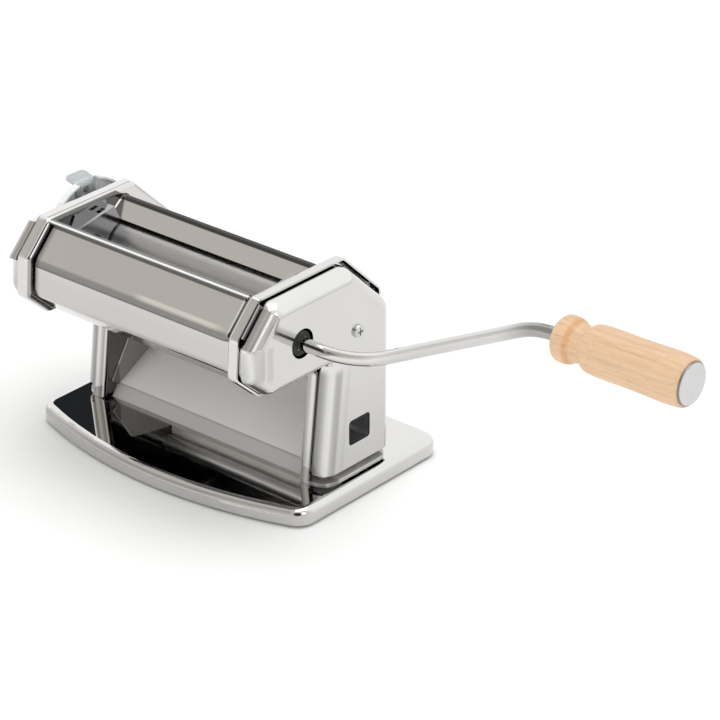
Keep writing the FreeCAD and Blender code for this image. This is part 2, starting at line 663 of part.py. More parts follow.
def rubber_feet():
    """Four stepped rubber feet under the base."""
    feet = []
    x = BASE_WIDTH / 2 - FOOT_PAD_INSET[0]
    front = BASE_FRONT_Y + FOOT_PAD_INSET[1] + FOOT_PAD_FRONT_EXTRA
    back = BASE_DEPTH / 2 - FOOT_PAD_INSET[1]
    for cx, cy in ((-x, front), (x, front), (-x, back), (x, back)):
        lower = Part.makeCylinder(FOOT_PAD_DIAMETER / 2, FRAME_BOTTOM_Z - BASE_SHEET, Vector(cx, cy, 0))
        edge = [e for e in lower.Edges if abs(e.BoundBox.ZMax) < 1e-6]
        feet.append(lower.makeFillet(0.8, edge))
    return Part.makeCompound(feet)


def foot_rivets():
    """Rivets that hold the foot flanges to the base."""
    rivets = []
    for sign in (-1, 1):
        for y in RIVETS_Y:
            x = sign * RIVET_X
            top = FRAME_BOTTOM_Z + FRAME_SHEET
            bottom = FRAME_BOTTOM_Z - BASE_SHEET
            shank = Part.makeCylinder(RIVET_DIAMETER / 2, top - bottom, Vector(x, y, bottom))
            head = Part.makeCylinder(RIVET_HEAD / 2, RIVET_HEAD_HEIGHT, Vector(x, y, top))
            head = head.makeFillet(1.0, [e for e in head.Edges if e.BoundBox.ZMin > top + 1])
            tail = Part.makeCylinder(RIVET_HEAD / 2, RIVET_HEAD_HEIGHT, Vector(x, y, bottom - RIVET_HEAD_HEIGHT))
            rivets.append(head.fuse(shank).fuse(tail).removeSplitter())
    return Part.makeCompound(rivets)


def tie_rods():
    """Round spacers between the side frames, drilled for their screws."""
    rods = []
    for y, z in TIE_RODS:
        bar = rod(TIE_ROD_DIAMETER, y, z, -FRAME_X, FRAME_X)
        for x in (-FRAME_X - 1, FRAME_X - TIE_SCREW_LENGTH - 1):
            bar = bar.cut(rod(TIE_SCREW_DIAMETER + 2 * SEAT_FIT, y, z, x, x + TIE_SCREW_LENGTH + 2))
        rods.append(bar)
    return Part.makeCompound(rods)


def tie_rod_screws():
    """One screw in each end of each spacer."""
    screws = []
    for y, z in TIE_RODS:
        end = PLATE_X + TIE_SCREW_HEAD_HEIGHT
        head = rounded_rim(rod(TIE_SCREW_HEAD, y, z, PLATE_X, end), end, 1.2)
        shank = rod(TIE_SCREW_DIAMETER, y, z, FRAME_X - TIE_SCREW_LENGTH, PLATE_X + 1)
        slot = box(end - 1, end + 1, y - TIE_SCREW_HEAD, y + TIE_SCREW_HEAD, z - 0.5, z + 0.5)
        screw = head.fuse(shank).cut(slot).removeSplitter()
        screws.append(screw)
        screws.append(screw.mirror(Vector(0, 0, 0), Vector(1, 0, 0)))
    return Part.makeCompound(screws)


def roller_bushes():
    """Flanged plain bearings of the front roller."""
    body = rod(BUSH_DIAMETER, FRONT_AXIS_Y, AXIS_HEIGHT, FRAME_X, PLATE_X)
    flange = rod(BUSH_FLANGE, FRONT_AXIS_Y, AXIS_HEIGHT, FRAME_X - BUSH_FLANGE_THICKNESS, FRAME_X)
    hole = rod(JOURNAL_DIAMETER + 2 * RUNNING_FIT, FRONT_AXIS_Y, AXIS_HEIGHT, FRAME_X - 3, PLATE_X + 1)
    return both_sides(body.fuse(flange).removeSplitter().cut(hole))


def roller(y, journal_left, journal_right):
    """Turned roller with its journals and softly rounded ends."""
    barrel = rod(ROLLER_DIAMETER, y, AXIS_HEIGHT, -ROLLER_LENGTH / 2, ROLLER_LENGTH / 2)
    barrel = barrel.makeFillet(ROLLER_EDGE, [e for e in barrel.Edges if e.BoundBox.XLength < 1e-6])
    return barrel.fuse(rod(JOURNAL_DIAMETER, y, AXIS_HEIGHT, journal_left, journal_right)).removeSplitter()


def involute(base_radius, radius):
    """Involute angle at a radius."""
    if radius <= base_radius:
        return 0.0
    angle = math.acos(base_radius / radius)
    return math.tan(angle) - angle


def gear(y, phase):
    """Spur gear whose first tooth points along +Y turned by `phase` teeth."""
    pitch_radius = (ROLLER_DIAMETER + ROLLER_GAP) / 2
    base_radius = pitch_radius * math.cos(math.radians(PRESSURE_ANGLE))
    tip_radius = pitch_radius + GEAR_ADDENDUM
    root_radius = pitch_radius - GEAR_DEDENDUM
    tooth = (math.pi * 2 * pitch_radius / GEAR_TEETH - GEAR_BACKLASH) / 2
    half_at_pitch = tooth / 2 / pitch_radius
    steps = 5
    flank = [root_radius]
    for i in range(steps + 1):
        flank.append(base_radius + (tip_radius - base_radius) * i / steps)
    reference = involute(base_radius, pitch_radius)
    halves = [half_at_pitch + reference - involute(base_radius, r) for r in flank]
    points = []
    for i in range(GEAR_TEETH):
        centre = 2 * math.pi * (i + phase) / GEAR_TEETH
        side = [(r, centre - h) for r, h in zip(flank, halves)]
        side += [(r, centre + h) for r, h in zip(flank[::-1], halves[::-1])]
        points += [(y + r * math.cos(a), AXIS_HEIGHT + r * math.sin(a)) for r, a in side]
    wheel = prism(points, [0] * len(points), GEAR_X, GEAR_X + GEAR_WIDTH)
    bore = rod(JOURNAL_DIAMETER + 2 * SEAT_FIT, y, AXIS_HEIGHT, GEAR_X - 1, GEAR_X + GEAR_WIDTH + 1)
    return wheel.cut(bore)


def drive_socket():
    """Sleeve on the end of the front roller, with the square hole for the crank."""
    end = COVER_BACK_X
    body = rod(SOCKET_DIAMETER, FRONT_AXIS_Y, AXIS_HEIGHT, SOCKET_X, end)
    seat = rod(JOURNAL_DIAMETER + 2 * SEAT_FIT, FRONT_AXIS_Y, AXIS_HEIGHT, SOCKET_X - 1, end - DRIVE_LENGTH)
    half = DRIVE_SQUARE / 2 + SEAT_FIT
    hole = box(end - DRIVE_LENGTH - 1, end + 1, FRONT_AXIS_Y - half, FRONT_AXIS_Y + half,
               AXIS_HEIGHT - half, AXIS_HEIGHT + half)
    return body.cut(seat).cut(hole)


def eccentric(outer_end):
    """Bush that carries the rear roller off centre, with the arm of the link rod."""
    x0 = FRAME_X - PART_GAP - ARM_THICKNESS
    x1 = x0 + ARM_THICKNESS
    bush = rod(ECCENTRIC_DIAMETER, REAR_AXIS_Y, PIVOT_Z, x0, outer_end)
    hole_radius = JOURNAL_DIAMETER / 2 + RUNNING_FIT + SLEEVE_WALL + RUNNING_FIT
    rod_y = REAR_AXIS_Y + LINK_ROD_RADIUS
    half = ARM_WIDTH / 2
    arm = box(x0, x1, REAR_AXIS_Y, rod_y, PIVOT_Z - half, PIVOT_Z + half)
    eye = rod(ARM_WIDTH, rod_y, PIVOT_Z, x0, x1)
    collar = rod(ECCENTRIC_DIAMETER + 2, REAR_AXIS_Y, PIVOT_Z, x0, x1)
    whole = bush.multiFuse([arm, eye, collar]).removeSplitter()
    hole = rod(2 * hole_radius, REAR_AXIS_Y, AXIS_HEIGHT, x0 - 1, outer_end + 1)
    seat = rod(LINK_ROD_DIAMETER + 2 * SEAT_FIT, rod_y, PIVOT_Z, x0 - 1, x1 + 1)
    return whole.cut(hole).cut(seat)


def eccentric_left():
    """The dial side bush, closed by a disc with the dial's shaft."""
    end = PLATE_X + 1.0
    bush = eccentric(end)
    disc = rod(ECCENTRIC_DIAMETER, REAR_AXIS_Y, PIVOT_Z, end, end + ECCENTRIC_DISC)
    shaft = rod(DIAL_SHAFT_DIAMETER, REAR_AXIS_Y, PIVOT_Z, end, DIAL_STOP_X)
    wide = DIAL_SHAFT_DIAMETER
    flat = box(DIAL_BACK_X - 1, DIAL_STOP_X + 1, REAR_AXIS_Y + DIAL_FLAT, REAR_AXIS_Y + wide, PIVOT_Z - wide, PIVOT_Z + wide)
    bore = rod(SCREW_DIAMETER, REAR_AXIS_Y, PIVOT_Z, DIAL_FACE_X - 6, DIAL_STOP_X + 1)
    return bush.multiFuse([disc, shaft.cut(flat).cut(bore)]).removeSplitter()


def link_rod():
    """Rod that makes both eccentric bushes turn together."""
    y = REAR_AXIS_Y + LINK_ROD_RADIUS
    end = FRAME_X - PART_GAP
    return rod(LINK_ROD_DIAMETER, y, PIVOT_Z, -end, end)


def bearing_sleeves():
    """Plain sleeves between the rear roller's journals and the eccentric bushes."""
    x0 = FRAME_X - PART_GAP - ARM_THICKNESS
    sleeve = rod(JOURNAL_DIAMETER + 2 * (RUNNING_FIT + SLEEVE_WALL), REAR_AXIS_Y, AXIS_HEIGHT, x0,
                 PLATE_X + END_PLAY)
    bore = rod(JOURNAL_DIAMETER + 2 * RUNNING_FIT, REAR_AXIS_Y, AXIS_HEIGHT, x0 - 1, PLATE_X + 2)
    return both_sides(sleeve.cut(bore))


def dial():
    """Pressed round dial with a turned-in rim and a D-shaped hub hole."""
    outer = rod(DIAL_DIAMETER, REAR_AXIS_Y, PIVOT_Z, DIAL_BACK_X, DIAL_FACE_X)
    outer = rounded_rim(outer, DIAL_FACE_X, 2.2)
    inner = rod(DIAL_DIAMETER - 2 * DIAL_SHEET, REAR_AXIS_Y, PIVOT_Z, DIAL_BACK_X - 1, DIAL_FACE_X - DIAL_SHEET)
    inner = rounded_rim(inner, DIAL_FACE_X - DIAL_SHEET, 1.0)
    dish = outer.cut(inner)
    hub = rod(DIAL_SHAFT_DIAMETER + 2 * DIAL_HUB_WALL, REAR_AXIS_Y, PIVOT_Z, DIAL_BACK_X + 1, DIAL_FACE_X - DIAL_SHEET)
    hole = rod(DIAL_SHAFT_DIAMETER + 2 * RUNNING_FIT, REAR_AXIS_Y, PIVOT_Z, DIAL_BACK_X - 1, DIAL_FACE_X + 1)
    wide = DIAL_SHAFT_DIAMETER
    flat = box(DIAL_BACK_X - 1, DIAL_FACE_X + 1, REAR_AXIS_Y + DIAL_FLAT + RUNNING_FIT, REAR_AXIS_Y + wide,
               PIVOT_Z - wide, PIVOT_Z + wide)
    peg_hole = rod(PEG_DIAMETER + 2 * SEAT_FIT, REAR_AXIS_Y, PIVOT_Z + PEG_RADIUS, DIAL_BACK_X, DIAL_FACE_X + 1)
    pin_hole = rod(LEVER_PIN_DIAMETER + 2 * SEAT_FIT, REAR_AXIS_Y, PIVOT_Z + LEVER_PIN_RADIUS, DIAL_BACK_X,
                   DIAL_FACE_X + 1)
    half = LEVER_WIDTH / 2 + HOLE_CLEARANCE
    notch = box(DIAL_BACK_X - 1, DIAL_FACE_X + 1, REAR_AXIS_Y - half, REAR_AXIS_Y + half,
                PIVOT_Z + LEVER_NOTCH, PIVOT_Z + DIAL_DIAMETER)
    return dish.fuse(hub).removeSplitter().cut(hole.cut(flat)).cut(peg_hole).cut(pin_hole).cut(notch)


def dial_screw():
    """Screw and washer head that keep the dial on its shaft."""
    end = DIAL_STOP_X + DIAL_SCREW_HEAD_HEIGHT
    head = rounded_rim(rod(DIAL_SCREW_HEAD, REAR_AXIS_Y, PIVOT_Z, DIAL_STOP_X, end), end, 1.4)
    shank = rod(SCREW_DIAMETER - 2 * SEAT_FIT, REAR_AXIS_Y, PIVOT_Z, DIAL_FACE_X - 5, DIAL_STOP_X + 1)
    reach = DIAL_SCREW_HEAD
    slot = box(end - 1, end + 1, REAR_AXIS_Y - reach, REAR_AXIS_Y + reach, PIVOT_Z - 0.7, PIVOT_Z + 0.7)
    return head.fuse(shank).cut(slot).removeSplitter()


def thickness_lever():
    """Finger lever bent from sheet: a plate on the back of the dial, whose top bends out through the dial's notch."""
    outer = LEVER_X + LEVER_SHEET
    top = PIVOT_Z + LEVER_TOP
    reach, rise = LEVER_TIP
    path = [(outer, PIVOT_Z + LEVER_BOTTOM), (outer, top), (outer + reach, top + rise)]
    inner = offset_path(path, LEVER_SHEET)
    points = path + inner[::-1]
    radii = [0, LEVER_BEND, 0, 0, LEVER_BEND + LEVER_SHEET, 0]
    face = Part.Face(outline(points, radii, 0.0))
    half = LEVER_WIDTH / 2
    blade = face.extrude(Vector(LEVER_WIDTH, 0, 0))
    blade.Placement = FreeCAD.Placement(Vector(0, REAR_AXIS_Y + half, 0), FreeCAD.Rotation(Vector(0, 0, 1), -90))
    tip_x = outer + reach - LEVER_SHEET
    tips = [e for e in blade.Edges if e.BoundBox.XMin > tip_x and abs(e.Length - LEVER_SHEET) < 1e-4]
    blade = blade.makeFillet(LEVER_CORNER, tips)
    peg_hole = rod(PEG_DIAMETER + 2 * SEAT_FIT, REAR_AXIS_Y, PIVOT_Z + PEG_RADIUS, LEVER_X - 1, outer + 1)
    pin_hole = rod(LEVER_PIN_HOLE, REAR_AXIS_Y, PIVOT_Z + LEVER_PIN_RADIUS, LEVER_X - 1, outer + 1)
    return blade.cut(peg_hole).cut(pin_hole)


def headed_pin(diameter, z, x0):
    """Pin on the dial with its rounded head outside, its other end at x0."""
    end = DIAL_FACE_X + diameter / 2
    head = rounded_rim(rod(diameter + PIN_HEAD_EXTRA, REAR_AXIS_Y, z, DIAL_FACE_X, end), end, 0.8)
    return head.fuse(rod(diameter, REAR_AXIS_Y, z, x0, DIAL_FACE_X + 0.5)).removeSplitter()


def lever_peg():
    """Peg through lever and dial, its end in the slot of the cover."""
    return headed_pin(PEG_DIAMETER, PIVOT_Z + PEG_RADIUS, COVER_BACK_X - 0.5)


def lever_pin():
    """Short pin of the dial that stands in the lever's larger hole."""
    return headed_pin(LEVER_PIN_DIAMETER, PIVOT_Z + LEVER_PIN_RADIUS, LEVER_X)


def scraper(front):
    """Spring steel blade under a roller, with a folded foot. The rear one is set further from its roller."""
    side = 1 if front else -1
    axis_y = FRONT_AXIS_Y if front else REAR_AXIS_Y
    gap = SCRAPER_GAP if front else REAR_SCRAPER_GAP
    y, z = polar(0, AXIS_HEIGHT, ROLLER_RADIUS + gap, SCRAPER_DEGREES)
    bend = polar(y, z, SCRAPER_LENGTH, SCRAPER_SLOPE_DEGREES)
    local = [(y, z), bend, (bend[0], bend[1] - SCRAPER_FOOT)]
    path = [(axis_y + side * p[0], p[1]) for p in local]
    if not front:
        path = path[::-1]
    return strip(path, BLADE_SHEET, [2 * BLADE_SHEET], -FRAME_X, FRAME_X)


def dough_guide():
    """Guide plate over a roller end: a sloping flange to the frame, and a blade down to the nip."""
    radius = ROLLER_RADIUS + GUIDE_ROLLER_GAP
    front_y, front_z = GUIDE_FRONT
    rear_y, rear_z = GUIDE_REAR
    slope = (rear_z - front_z) / (rear_y - front_y)
    tab_top = rear_z + 3.0
    blade_points = [(front_y, front_z), (front_y, AXIS_HEIGHT), (rear_y + 4, AXIS_HEIGHT), (rear_y + 4, rear_z - 9),
                    (rear_y, rear_z)]
    blade = prism(blade_points, [2, 0, 0, 2, 1], GUIDE_X, GUIDE_X + GUIDE_SHEET)
    under = (front_y, front_z - GUIDE_SHEET), (rear_y, rear_z - GUIDE_SHEET)
    flange_points = [under[0], under[1], (rear_y, rear_z), (front_y, front_z)]
    flange = prism(flange_points, [0] * 4, GUIDE_X, FRAME_X)
    tab_points = [under[0], under[1], (rear_y, tab_top), (front_y + 4, tab_top - 2)]
    tab = prism(tab_points, [0, 0, 2, 2], FRAME_X - GUIDE_SHEET, FRAME_X)
    guide = blade.fuse(flange).fuse(tab).removeSplitter()
    front_cut = rod(2 * radius, FRONT_AXIS_Y, AXIS_HEIGHT, GUIDE_X - 1, GUIDE_X + 3)
    rear_cut = rod(2 * (radius + END_PLAY), REAR_AXIS_Y, AXIS_HEIGHT, GUIDE_X - 1, GUIDE_X + 3)
    below = box(GUIDE_X - 1, GUIDE_X + 3, front_y - 1, rear_y + 6, AXIS_HEIGHT - 20, AXIS_HEIGHT + 1.5)
    slot_y = (front_y + rear_y) / 2 + 7
    slot_z = front_z + slope * (slot_y - front_y)
    slot_x = GUIDE_X + 2 * GUIDE_SHEET
    long, wide = GUIDE_SLOT
    slot = box(slot_x, slot_x + wide, slot_y - long / 2, slot_y + long / 2, slot_z - 6, slot_z + 4)
    return guide.cut(front_cut).cut(rear_cut).cut(below).cut(slot)


def crank_path():
    """Corners of the crank's centre line in (x, z)."""
    run = CRANK_RADIUS / math.tan(math.radians(CRANK_SLOPE))
    return [
        (COVER_BACK_X - DRIVE_LENGTH, AXIS_HEIGHT),
        (CRANK_FIRST_BEND_X, AXIS_HEIGHT),
        (CRANK_FIRST_BEND_X + run, HANDLE_Z),
        (HANDLE_START_X + 4.0, HANDLE_Z),
    ]


def crank_rod():
    """Bent round rod with a square end for the socket and the pin of the handle."""
    p = crank_path()
    half_bend = math.radians(CRANK_SLOPE) / 2

    def vec(q):
        return Vector(q[0], FRONT_AXIS_Y, q[1])

    def mid(corner, u, w, radius):
        bisector = unit((0, 0), (u[0] + w[0], u[1] + w[1]))
        depth = radius / math.cos(half_bend) - radius
        return (corner[0] + bisector[0] * depth, corner[1] + bisector[1] * depth)

    start = (COVER_BACK_X, AXIS_HEIGHT)
    edges = []
    current = start
    for i, radius in enumerate(CRANK_BENDS, 1):
        reach = radius * math.tan(half_bend)
        u = unit(p[i], p[i - 1])
        w = unit(p[i], p[i + 1])
        a = (p[i][0] + u[0] * reach, p[i][1] + u[1] * reach)
        b = (p[i][0] + w[0] * reach, p[i][1] + w[1] * reach)
        edges.append(Part.makeLine(vec(current), vec(a)))
        edges.append(Part.Arc(vec(a), vec(mid(p[i], u, w, radius)), vec(b)).toShape())
        current = b
    edges.append(Part.makeLine(vec(current), vec(p[3])))
    profile = Part.Wire([Part.makeCircle(ROD_DIAMETER / 2, vec(start), Vector(1, 0, 0))])
    arm = Part.Wire(edges).makePipeShell([profile], True, True)
    half = DRIVE_SQUARE / 2
    square = box(COVER_BACK_X - DRIVE_LENGTH, COVER_BACK_X + 0.5, FRONT_AXIS_Y - half, FRONT_AXIS_Y + half,
                 AXIS_HEIGHT - half, AXIS_HEIGHT + half)
    head_x = HANDLE_START_X + HANDLE_LENGTH - 2 * PIN_HEAD_THICKNESS
    pin = rod(PIN_DIAMETER, FRONT_AXIS_Y, HANDLE_Z, p[3][0] - 1, head_x)
    collar = rod(PIN_COLLAR, FRONT_AXIS_Y, HANDLE_Z, HANDLE_START_X - 2.6, HANDLE_START_X - 0.6)
    head = rod(PIN_HEAD, FRONT_AXIS_Y, HANDLE_Z, head_x, head_x + PIN_HEAD_THICKNESS)
    return arm.multiFuse([square, pin, head, collar]).removeSplitter()


def crank_handle():
    """Turned wooden handle: bead, neck and a nearly straight grip, as (distance, share of the diameter)."""
    profile = [
        (0.0, 0.34), (1.2, 0.41), (3.2, 0.462), (6.0, BEAD_DIAMETER / 2 / HANDLE_DIAMETER),
        (9.2, 0.455), (12.2, 0.405), (15.5, NECK_DIAMETER / 2 / HANDLE_DIAMETER), (18.6, 0.40),
        (21.4, 0.462), (25.0, 0.488), (40.0, 0.494), (60.0, 0.5), (78.0, 0.498), (81.6, 0.483),
    ]
    points = [Vector(HANDLE_START_X + s, 0, r * HANDLE_DIAMETER) for s, r in profile]
    last = Vector(HANDLE_START_X + HANDLE_LENGTH - CAP_THICKNESS, 0, CAP_DIAMETER / 2 + 0.6)
    curve = Part.BSplineCurve()
    curve.interpolate(points)
    first = points[0]
    axis_start = Vector(first.x, 0, 0)
    axis_end = Vector(last.x, 0, 0)
    wire = Part.Wire([
        Part.makeLine(axis_start, first), curve.toShape(),
        Part.makeLine(points[-1], last), Part.makeLine(last, axis_end), Part.makeLine(axis_end, axis_start),
    ])
    grip = Part.Face(wire).revolve(Vector(0, 0, 0), Vector(1, 0, 0), 360)
    grip.translate(Vector(0, FRONT_AXIS_Y, HANDLE_Z))
    end = HANDLE_START_X + HANDLE_LENGTH
    mouth_depth = 6.0
    bore = rod(PIN_DIAMETER + 2 * RUNNING_FIT, FRONT_AXIS_Y, HANDLE_Z, HANDLE_START_X + mouth_depth, end)
    mouth = rod(ROD_DIAMETER + 2 * PART_GAP, FRONT_AXIS_Y, HANDLE_Z, HANDLE_START_X - 1, HANDLE_START_X + mouth_depth)
    pocket_x = end - 2 * PIN_HEAD_THICKNESS - PART_GAP
    pocket = rod(PIN_HEAD + 2 * PART_GAP, FRONT_AXIS_Y, HANDLE_Z, pocket_x, end)
    return grip.cut(bore.fuse(mouth).fuse(pocket))


def handle_cap():
    """Slightly domed metal cap on the end of the handle."""
    end = HANDLE_START_X + HANDLE_LENGTH
    disc = rod(CAP_DIAMETER, FRONT_AXIS_Y, HANDLE_Z, end - CAP_THICKNESS, end)
    return rounded_rim(disc, end, 0.7)


def clamp_tube():
    """Square tube behind the clamp hole, between the frame and the cover."""
    corner = CLAMP_HOLE_CORNER + CLAMP_TUBE_SHEET
    outer = prism(clamp_hole_points(CLAMP_TUBE_SHEET), [corner] * 4, PLATE_X, COVER_BACK_X)
    return outer.cut(prism(clamp_hole_points(0), [CLAMP_HOLE_CORNER] * 4, PLATE_X - 1, COVER_BACK_X + 1))


def main():
    os.makedirs("parts", exist_ok=True)
    add(base_tray(), "base_tray")
    add(rubber_feet(), "rubber_feet")
    add(foot_rivets(), "foot_rivets")
    frame = side_frame()
    add(frame, "side_frame_right")
    add(frame, "side_frame_left", mirrored=True)
    crank_hole = rod(CRANK_HOLE_DIAMETER, FRONT_AXIS_Y, AXIS_HEIGHT, COVER_BACK_X - 1, FACE_X + 1)
    add(side_cover(RIGHT_SCREW).cut(crank_hole), "side_cover_right")
    shaft_hole = rod(DIAL_SHAFT_DIAMETER + 2 * HOLE_CLEARANCE, REAR_AXIS_Y, PIVOT_Z, COVER_BACK_X - 1, FACE_X + 1)
    add(side_cover(LEFT_SCREW).cut(shaft_hole).cut(peg_slot()), "side_cover_left", mirrored=True)
    add(screw_bracket(*RIGHT_SCREW), "screw_bracket_right")
    add(screw_bracket(*LEFT_SCREW), "screw_bracket_left", mirrored=True)
    left_screw = cover_screw(*LEFT_SCREW).mirror(Vector(0, 0, 0), Vector(1, 0, 0))
    add(Part.makeCompound([cover_screw(*RIGHT_SCREW), left_screw]), "cover_screws")
    add(clamp_tube(), "clamp_tube_right")
    add(clamp_tube(), "clamp_tube_left", mirrored=True)
    add(attachment_rail(), "attachment_rail_right")
    add(attachment_rail(), "attachment_rail_left", mirrored=True)
    add(front_cover(), "front_cover")
    add(rear_cover(), "rear_cover")
    add(chute(), "chute")
    add(tie_rods(), "tie_rods")
    add(tie_rod_screws(), "tie_rod_screws")
    add(roller_bushes(), "roller_bushes")
    add(scraper(True), "scraper_front")
    add(scraper(False), "scraper_rear")
    add(dough_guide(), "dough_guide_right")
    add(dough_guide(), "dough_guide_left", mirrored=True)
    add(roller(FRONT_AXIS_Y, -PLATE_X - 4, COVER_BACK_X - DRIVE_LENGTH), "roller_front")
    add(roller(REAR_AXIS_Y, -PLATE_X - END_PLAY, GEAR_X + GEAR_WIDTH), "roller_rear")
    add(gear(FRONT_AXIS_Y, 0), "gear_front")
    add(gear(REAR_AXIS_Y, 0.5), "gear_rear")
    add(drive_socket(), "drive_socket")
    add(eccentric(PLATE_X + END_PLAY), "eccentric_right")
    add(eccentric_left(), "eccentric_left", mirrored=True)
    add(link_rod(), "link_rod")
    add(bearing_sleeves(), "bearing_sleeves")
    add(dial(), "dial", mirrored=True)
    add(dial_screw(), "dial_screw", mirrored=True)
    add(thickness_lever(), "thickness_lever", mirrored=True)
    add(lever_peg(), "lever_peg", mirrored=True)
    add(lever_pin(), "lever_pin", mirrored=True)
    add(crank_rod(), "crank_rod")
    add(crank_handle(), "crank_handle")
    add(handle_cap(), "handle_cap")


main()
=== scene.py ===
"""Looks of the pasta machine: plated and bare metals, turned beech, a pale studio and the photo's camera."""
import math

import bpy
import numpy as np
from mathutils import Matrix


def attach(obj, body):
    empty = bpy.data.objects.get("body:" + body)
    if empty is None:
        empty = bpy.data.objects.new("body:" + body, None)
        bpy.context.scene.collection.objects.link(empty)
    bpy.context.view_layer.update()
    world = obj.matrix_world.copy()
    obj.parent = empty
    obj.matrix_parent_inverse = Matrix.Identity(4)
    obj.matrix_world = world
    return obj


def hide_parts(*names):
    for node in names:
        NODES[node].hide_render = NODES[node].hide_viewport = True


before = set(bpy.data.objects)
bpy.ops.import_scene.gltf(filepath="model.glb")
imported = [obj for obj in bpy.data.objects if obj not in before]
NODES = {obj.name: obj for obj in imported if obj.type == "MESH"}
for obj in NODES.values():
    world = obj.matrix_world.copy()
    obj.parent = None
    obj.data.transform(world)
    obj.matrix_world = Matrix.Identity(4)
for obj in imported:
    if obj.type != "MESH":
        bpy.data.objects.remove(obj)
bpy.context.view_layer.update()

# Colour sockets of a Mix node: the colour below, the colour laid over it, and the result
BELOW, OVER, MIXED = 6, 7, 2


def srgb(r, g, b):
    """8 bit display colour to the linear values a shader takes."""
    out = []
    for v in (r, g, b):
        v /= 255.0
        out.append(v / 12.92 if v <= 0.04045 else ((v + 0.055) / 1.055) ** 2.4)
    return (*out, 1.0)


def grey(v, tint=(1.0, 1.0, 1.0)):
    """Linear grey, multiplied by a tint."""
    return (v * tint[0], v * tint[1], v * tint[2], 1.0)


# Directions that the shades are measured along: a vector, what it is measured on, and whether from the middle
LEG_LEAN = 0.1216
AXES = {
    "x": ((1, 0, 0),),
    "y": ((0, 1, 0),),
    "z": ((0, 0, 1),),
    "side": ((1, 0, 0), "Object", True),
    "leg": ((0, 1, -LEG_LEAN),),
    "rear slope": ((0, 0.614, 0.789),),
    "across bead": ((0, 0.556, 0.831),),
    "facing side": ((1, 0, 0), "Normal", True),
}


class Nodes:
    """Small helper around one material's node tree."""

    def __init__(self, name):
        self.mat = bpy.data.materials.new(name)
        self.mat.use_nodes = True
        self.tree = self.mat.node_tree
        self.tree.nodes.clear()
        self.out = self.add("ShaderNodeOutputMaterial")
        self.bsdf = self.add("ShaderNodeBsdfPrincipled")
        self.link(self.bsdf, "BSDF", self.out, "Surface")
        self.place = self.add("ShaderNodeTexCoord")

    def add(self, kind, **values):
        node = self.tree.nodes.new(kind)
        for key, value in values.items():
            setattr(node, key, value)
        return node

    def link(self, a, out, b, into):
        self.tree.links.new(a.outputs[out], b.inputs[into])

    def scaled(self, x, y, z):
        """Object coordinates in metres, multiplied per axis."""
        mapping = self.add("ShaderNodeMapping")
        mapping.inputs["Scale"].default_value = (x, y, z)
        self.link(self.place, "Object", mapping, "Vector")
        return mapping

    def noise(self, scale, detail=3.0, stretch=(1, 1, 1), roughness=0.55):
        """Noise whose features repeat about `scale` times per metre."""
        node = self.add("ShaderNodeTexNoise")
        node.inputs["Scale"].default_value = scale
        node.inputs["Detail"].default_value = detail
        node.inputs["Roughness"].default_value = roughness
        self.link(self.scaled(*stretch), "Vector", node, "Vector")
        return node

    def ramp(self, source, socket, stops):
        """Colour ramp with stops of (position, colour)."""
        node = self.add("ShaderNodeValToRGB")
        self.link(source, socket, node, "Fac")
        ramp = node.color_ramp
        while len(ramp.elements) < len(stops):
            ramp.elements.new(0.5)
        for element, (at, colour) in zip(ramp.elements, stops):
            element.position = at
            element.color = colour
        return node

    def span(self, source, socket, low, high, out_low, out_high):
        """Linear map of one value range onto another."""
        node = self.add("ShaderNodeMapRange")
        node.inputs["From Min"].default_value = low
        node.inputs["From Max"].default_value = high
        node.inputs["To Min"].default_value = out_low
        node.inputs["To Max"].default_value = out_high
        self.link(source, socket, node, "Value")
        return node

    def bump(self, source, socket, distance, strength=1.0, below=None):
        """Height in metres given by a 0 to 1 value, on top of another bump where one is given."""
        node = self.add("ShaderNodeBump")
        node.inputs["Distance"].default_value = distance
        node.inputs["Strength"].default_value = strength
        self.link(source, socket, node, "Height")
        if below:
            self.link(below, "Normal", node, "Normal")
        return node

    def along(self, vector, source="Object", absolute=False):
        """Distance in metres along a vector, or the same part of the normal.

        absolute measures it from the middle.
        """
        node = self.add("ShaderNodeVectorMath", operation="DOT_PRODUCT")
        node.inputs[1].default_value = vector
        self.link(self.place, source, node, 0)
        if not absolute:
            return node
        size = self.add("ShaderNodeMath", operation="ABSOLUTE")
        self.link(node, "Value", size, 0)
        return size

    def soft_box(self, limits):
        """1 inside all limits and 0 outside, each limit given as (axis, zero at, one at)."""
        mask = None
        for axis, zero_at, one_at in limits:
            step = self.span(self.along(*AXES[axis]), "Value", zero_at, one_at, 0.0, 1.0)
            step.interpolation_type = "SMOOTHSTEP"
            if mask:
                both = self.add("ShaderNodeMath", operation="MULTIPLY")
                self.link(mask, 0, both, 0)
                self.link(step, "Result", both, 1)
                step = both
            mask = step
        return mask

    def lay(self, mask, below, socket, over=None, kind="MIX"):
        """Lay a colour over another where a 0 to 1 mask says so."""
        mix = self.add("ShaderNodeMix", data_type="RGBA", blend_type=kind)
        self.link(mask, 0, mix, "Factor")
        self.link(below, socket, mix, BELOW)
        if over:
            mix.inputs[OVER].default_value = over
        return mix

    def shaded(self, colour, socket, shades):
        """Multiply a colour by greys inside soft boxes, each given as (limits, tone).

        A tone is one grey, or (axis, low, high, stops): a ramp of greys along an axis.
        """
        for limits, tone in shades:
            mask = self.soft_box(limits)
            if isinstance(tone, float):
                mix = self.lay(mask, colour, socket, grey(tone), "MULTIPLY")
            else:
                mix = self.lay(mask, colour, socket, kind="MULTIPLY")
                axis, low, high, stops = tone
                place = self.span(self.along(*AXES[axis]), "Value", low, high, 0.0, 1.0)
                ramp = self.ramp(place, "Result", [(at, grey(v)) for at, v in stops])
                self.link(ramp, "Color", mix, OVER)
            colour, socket = mix, MIXED
        return colour, socket


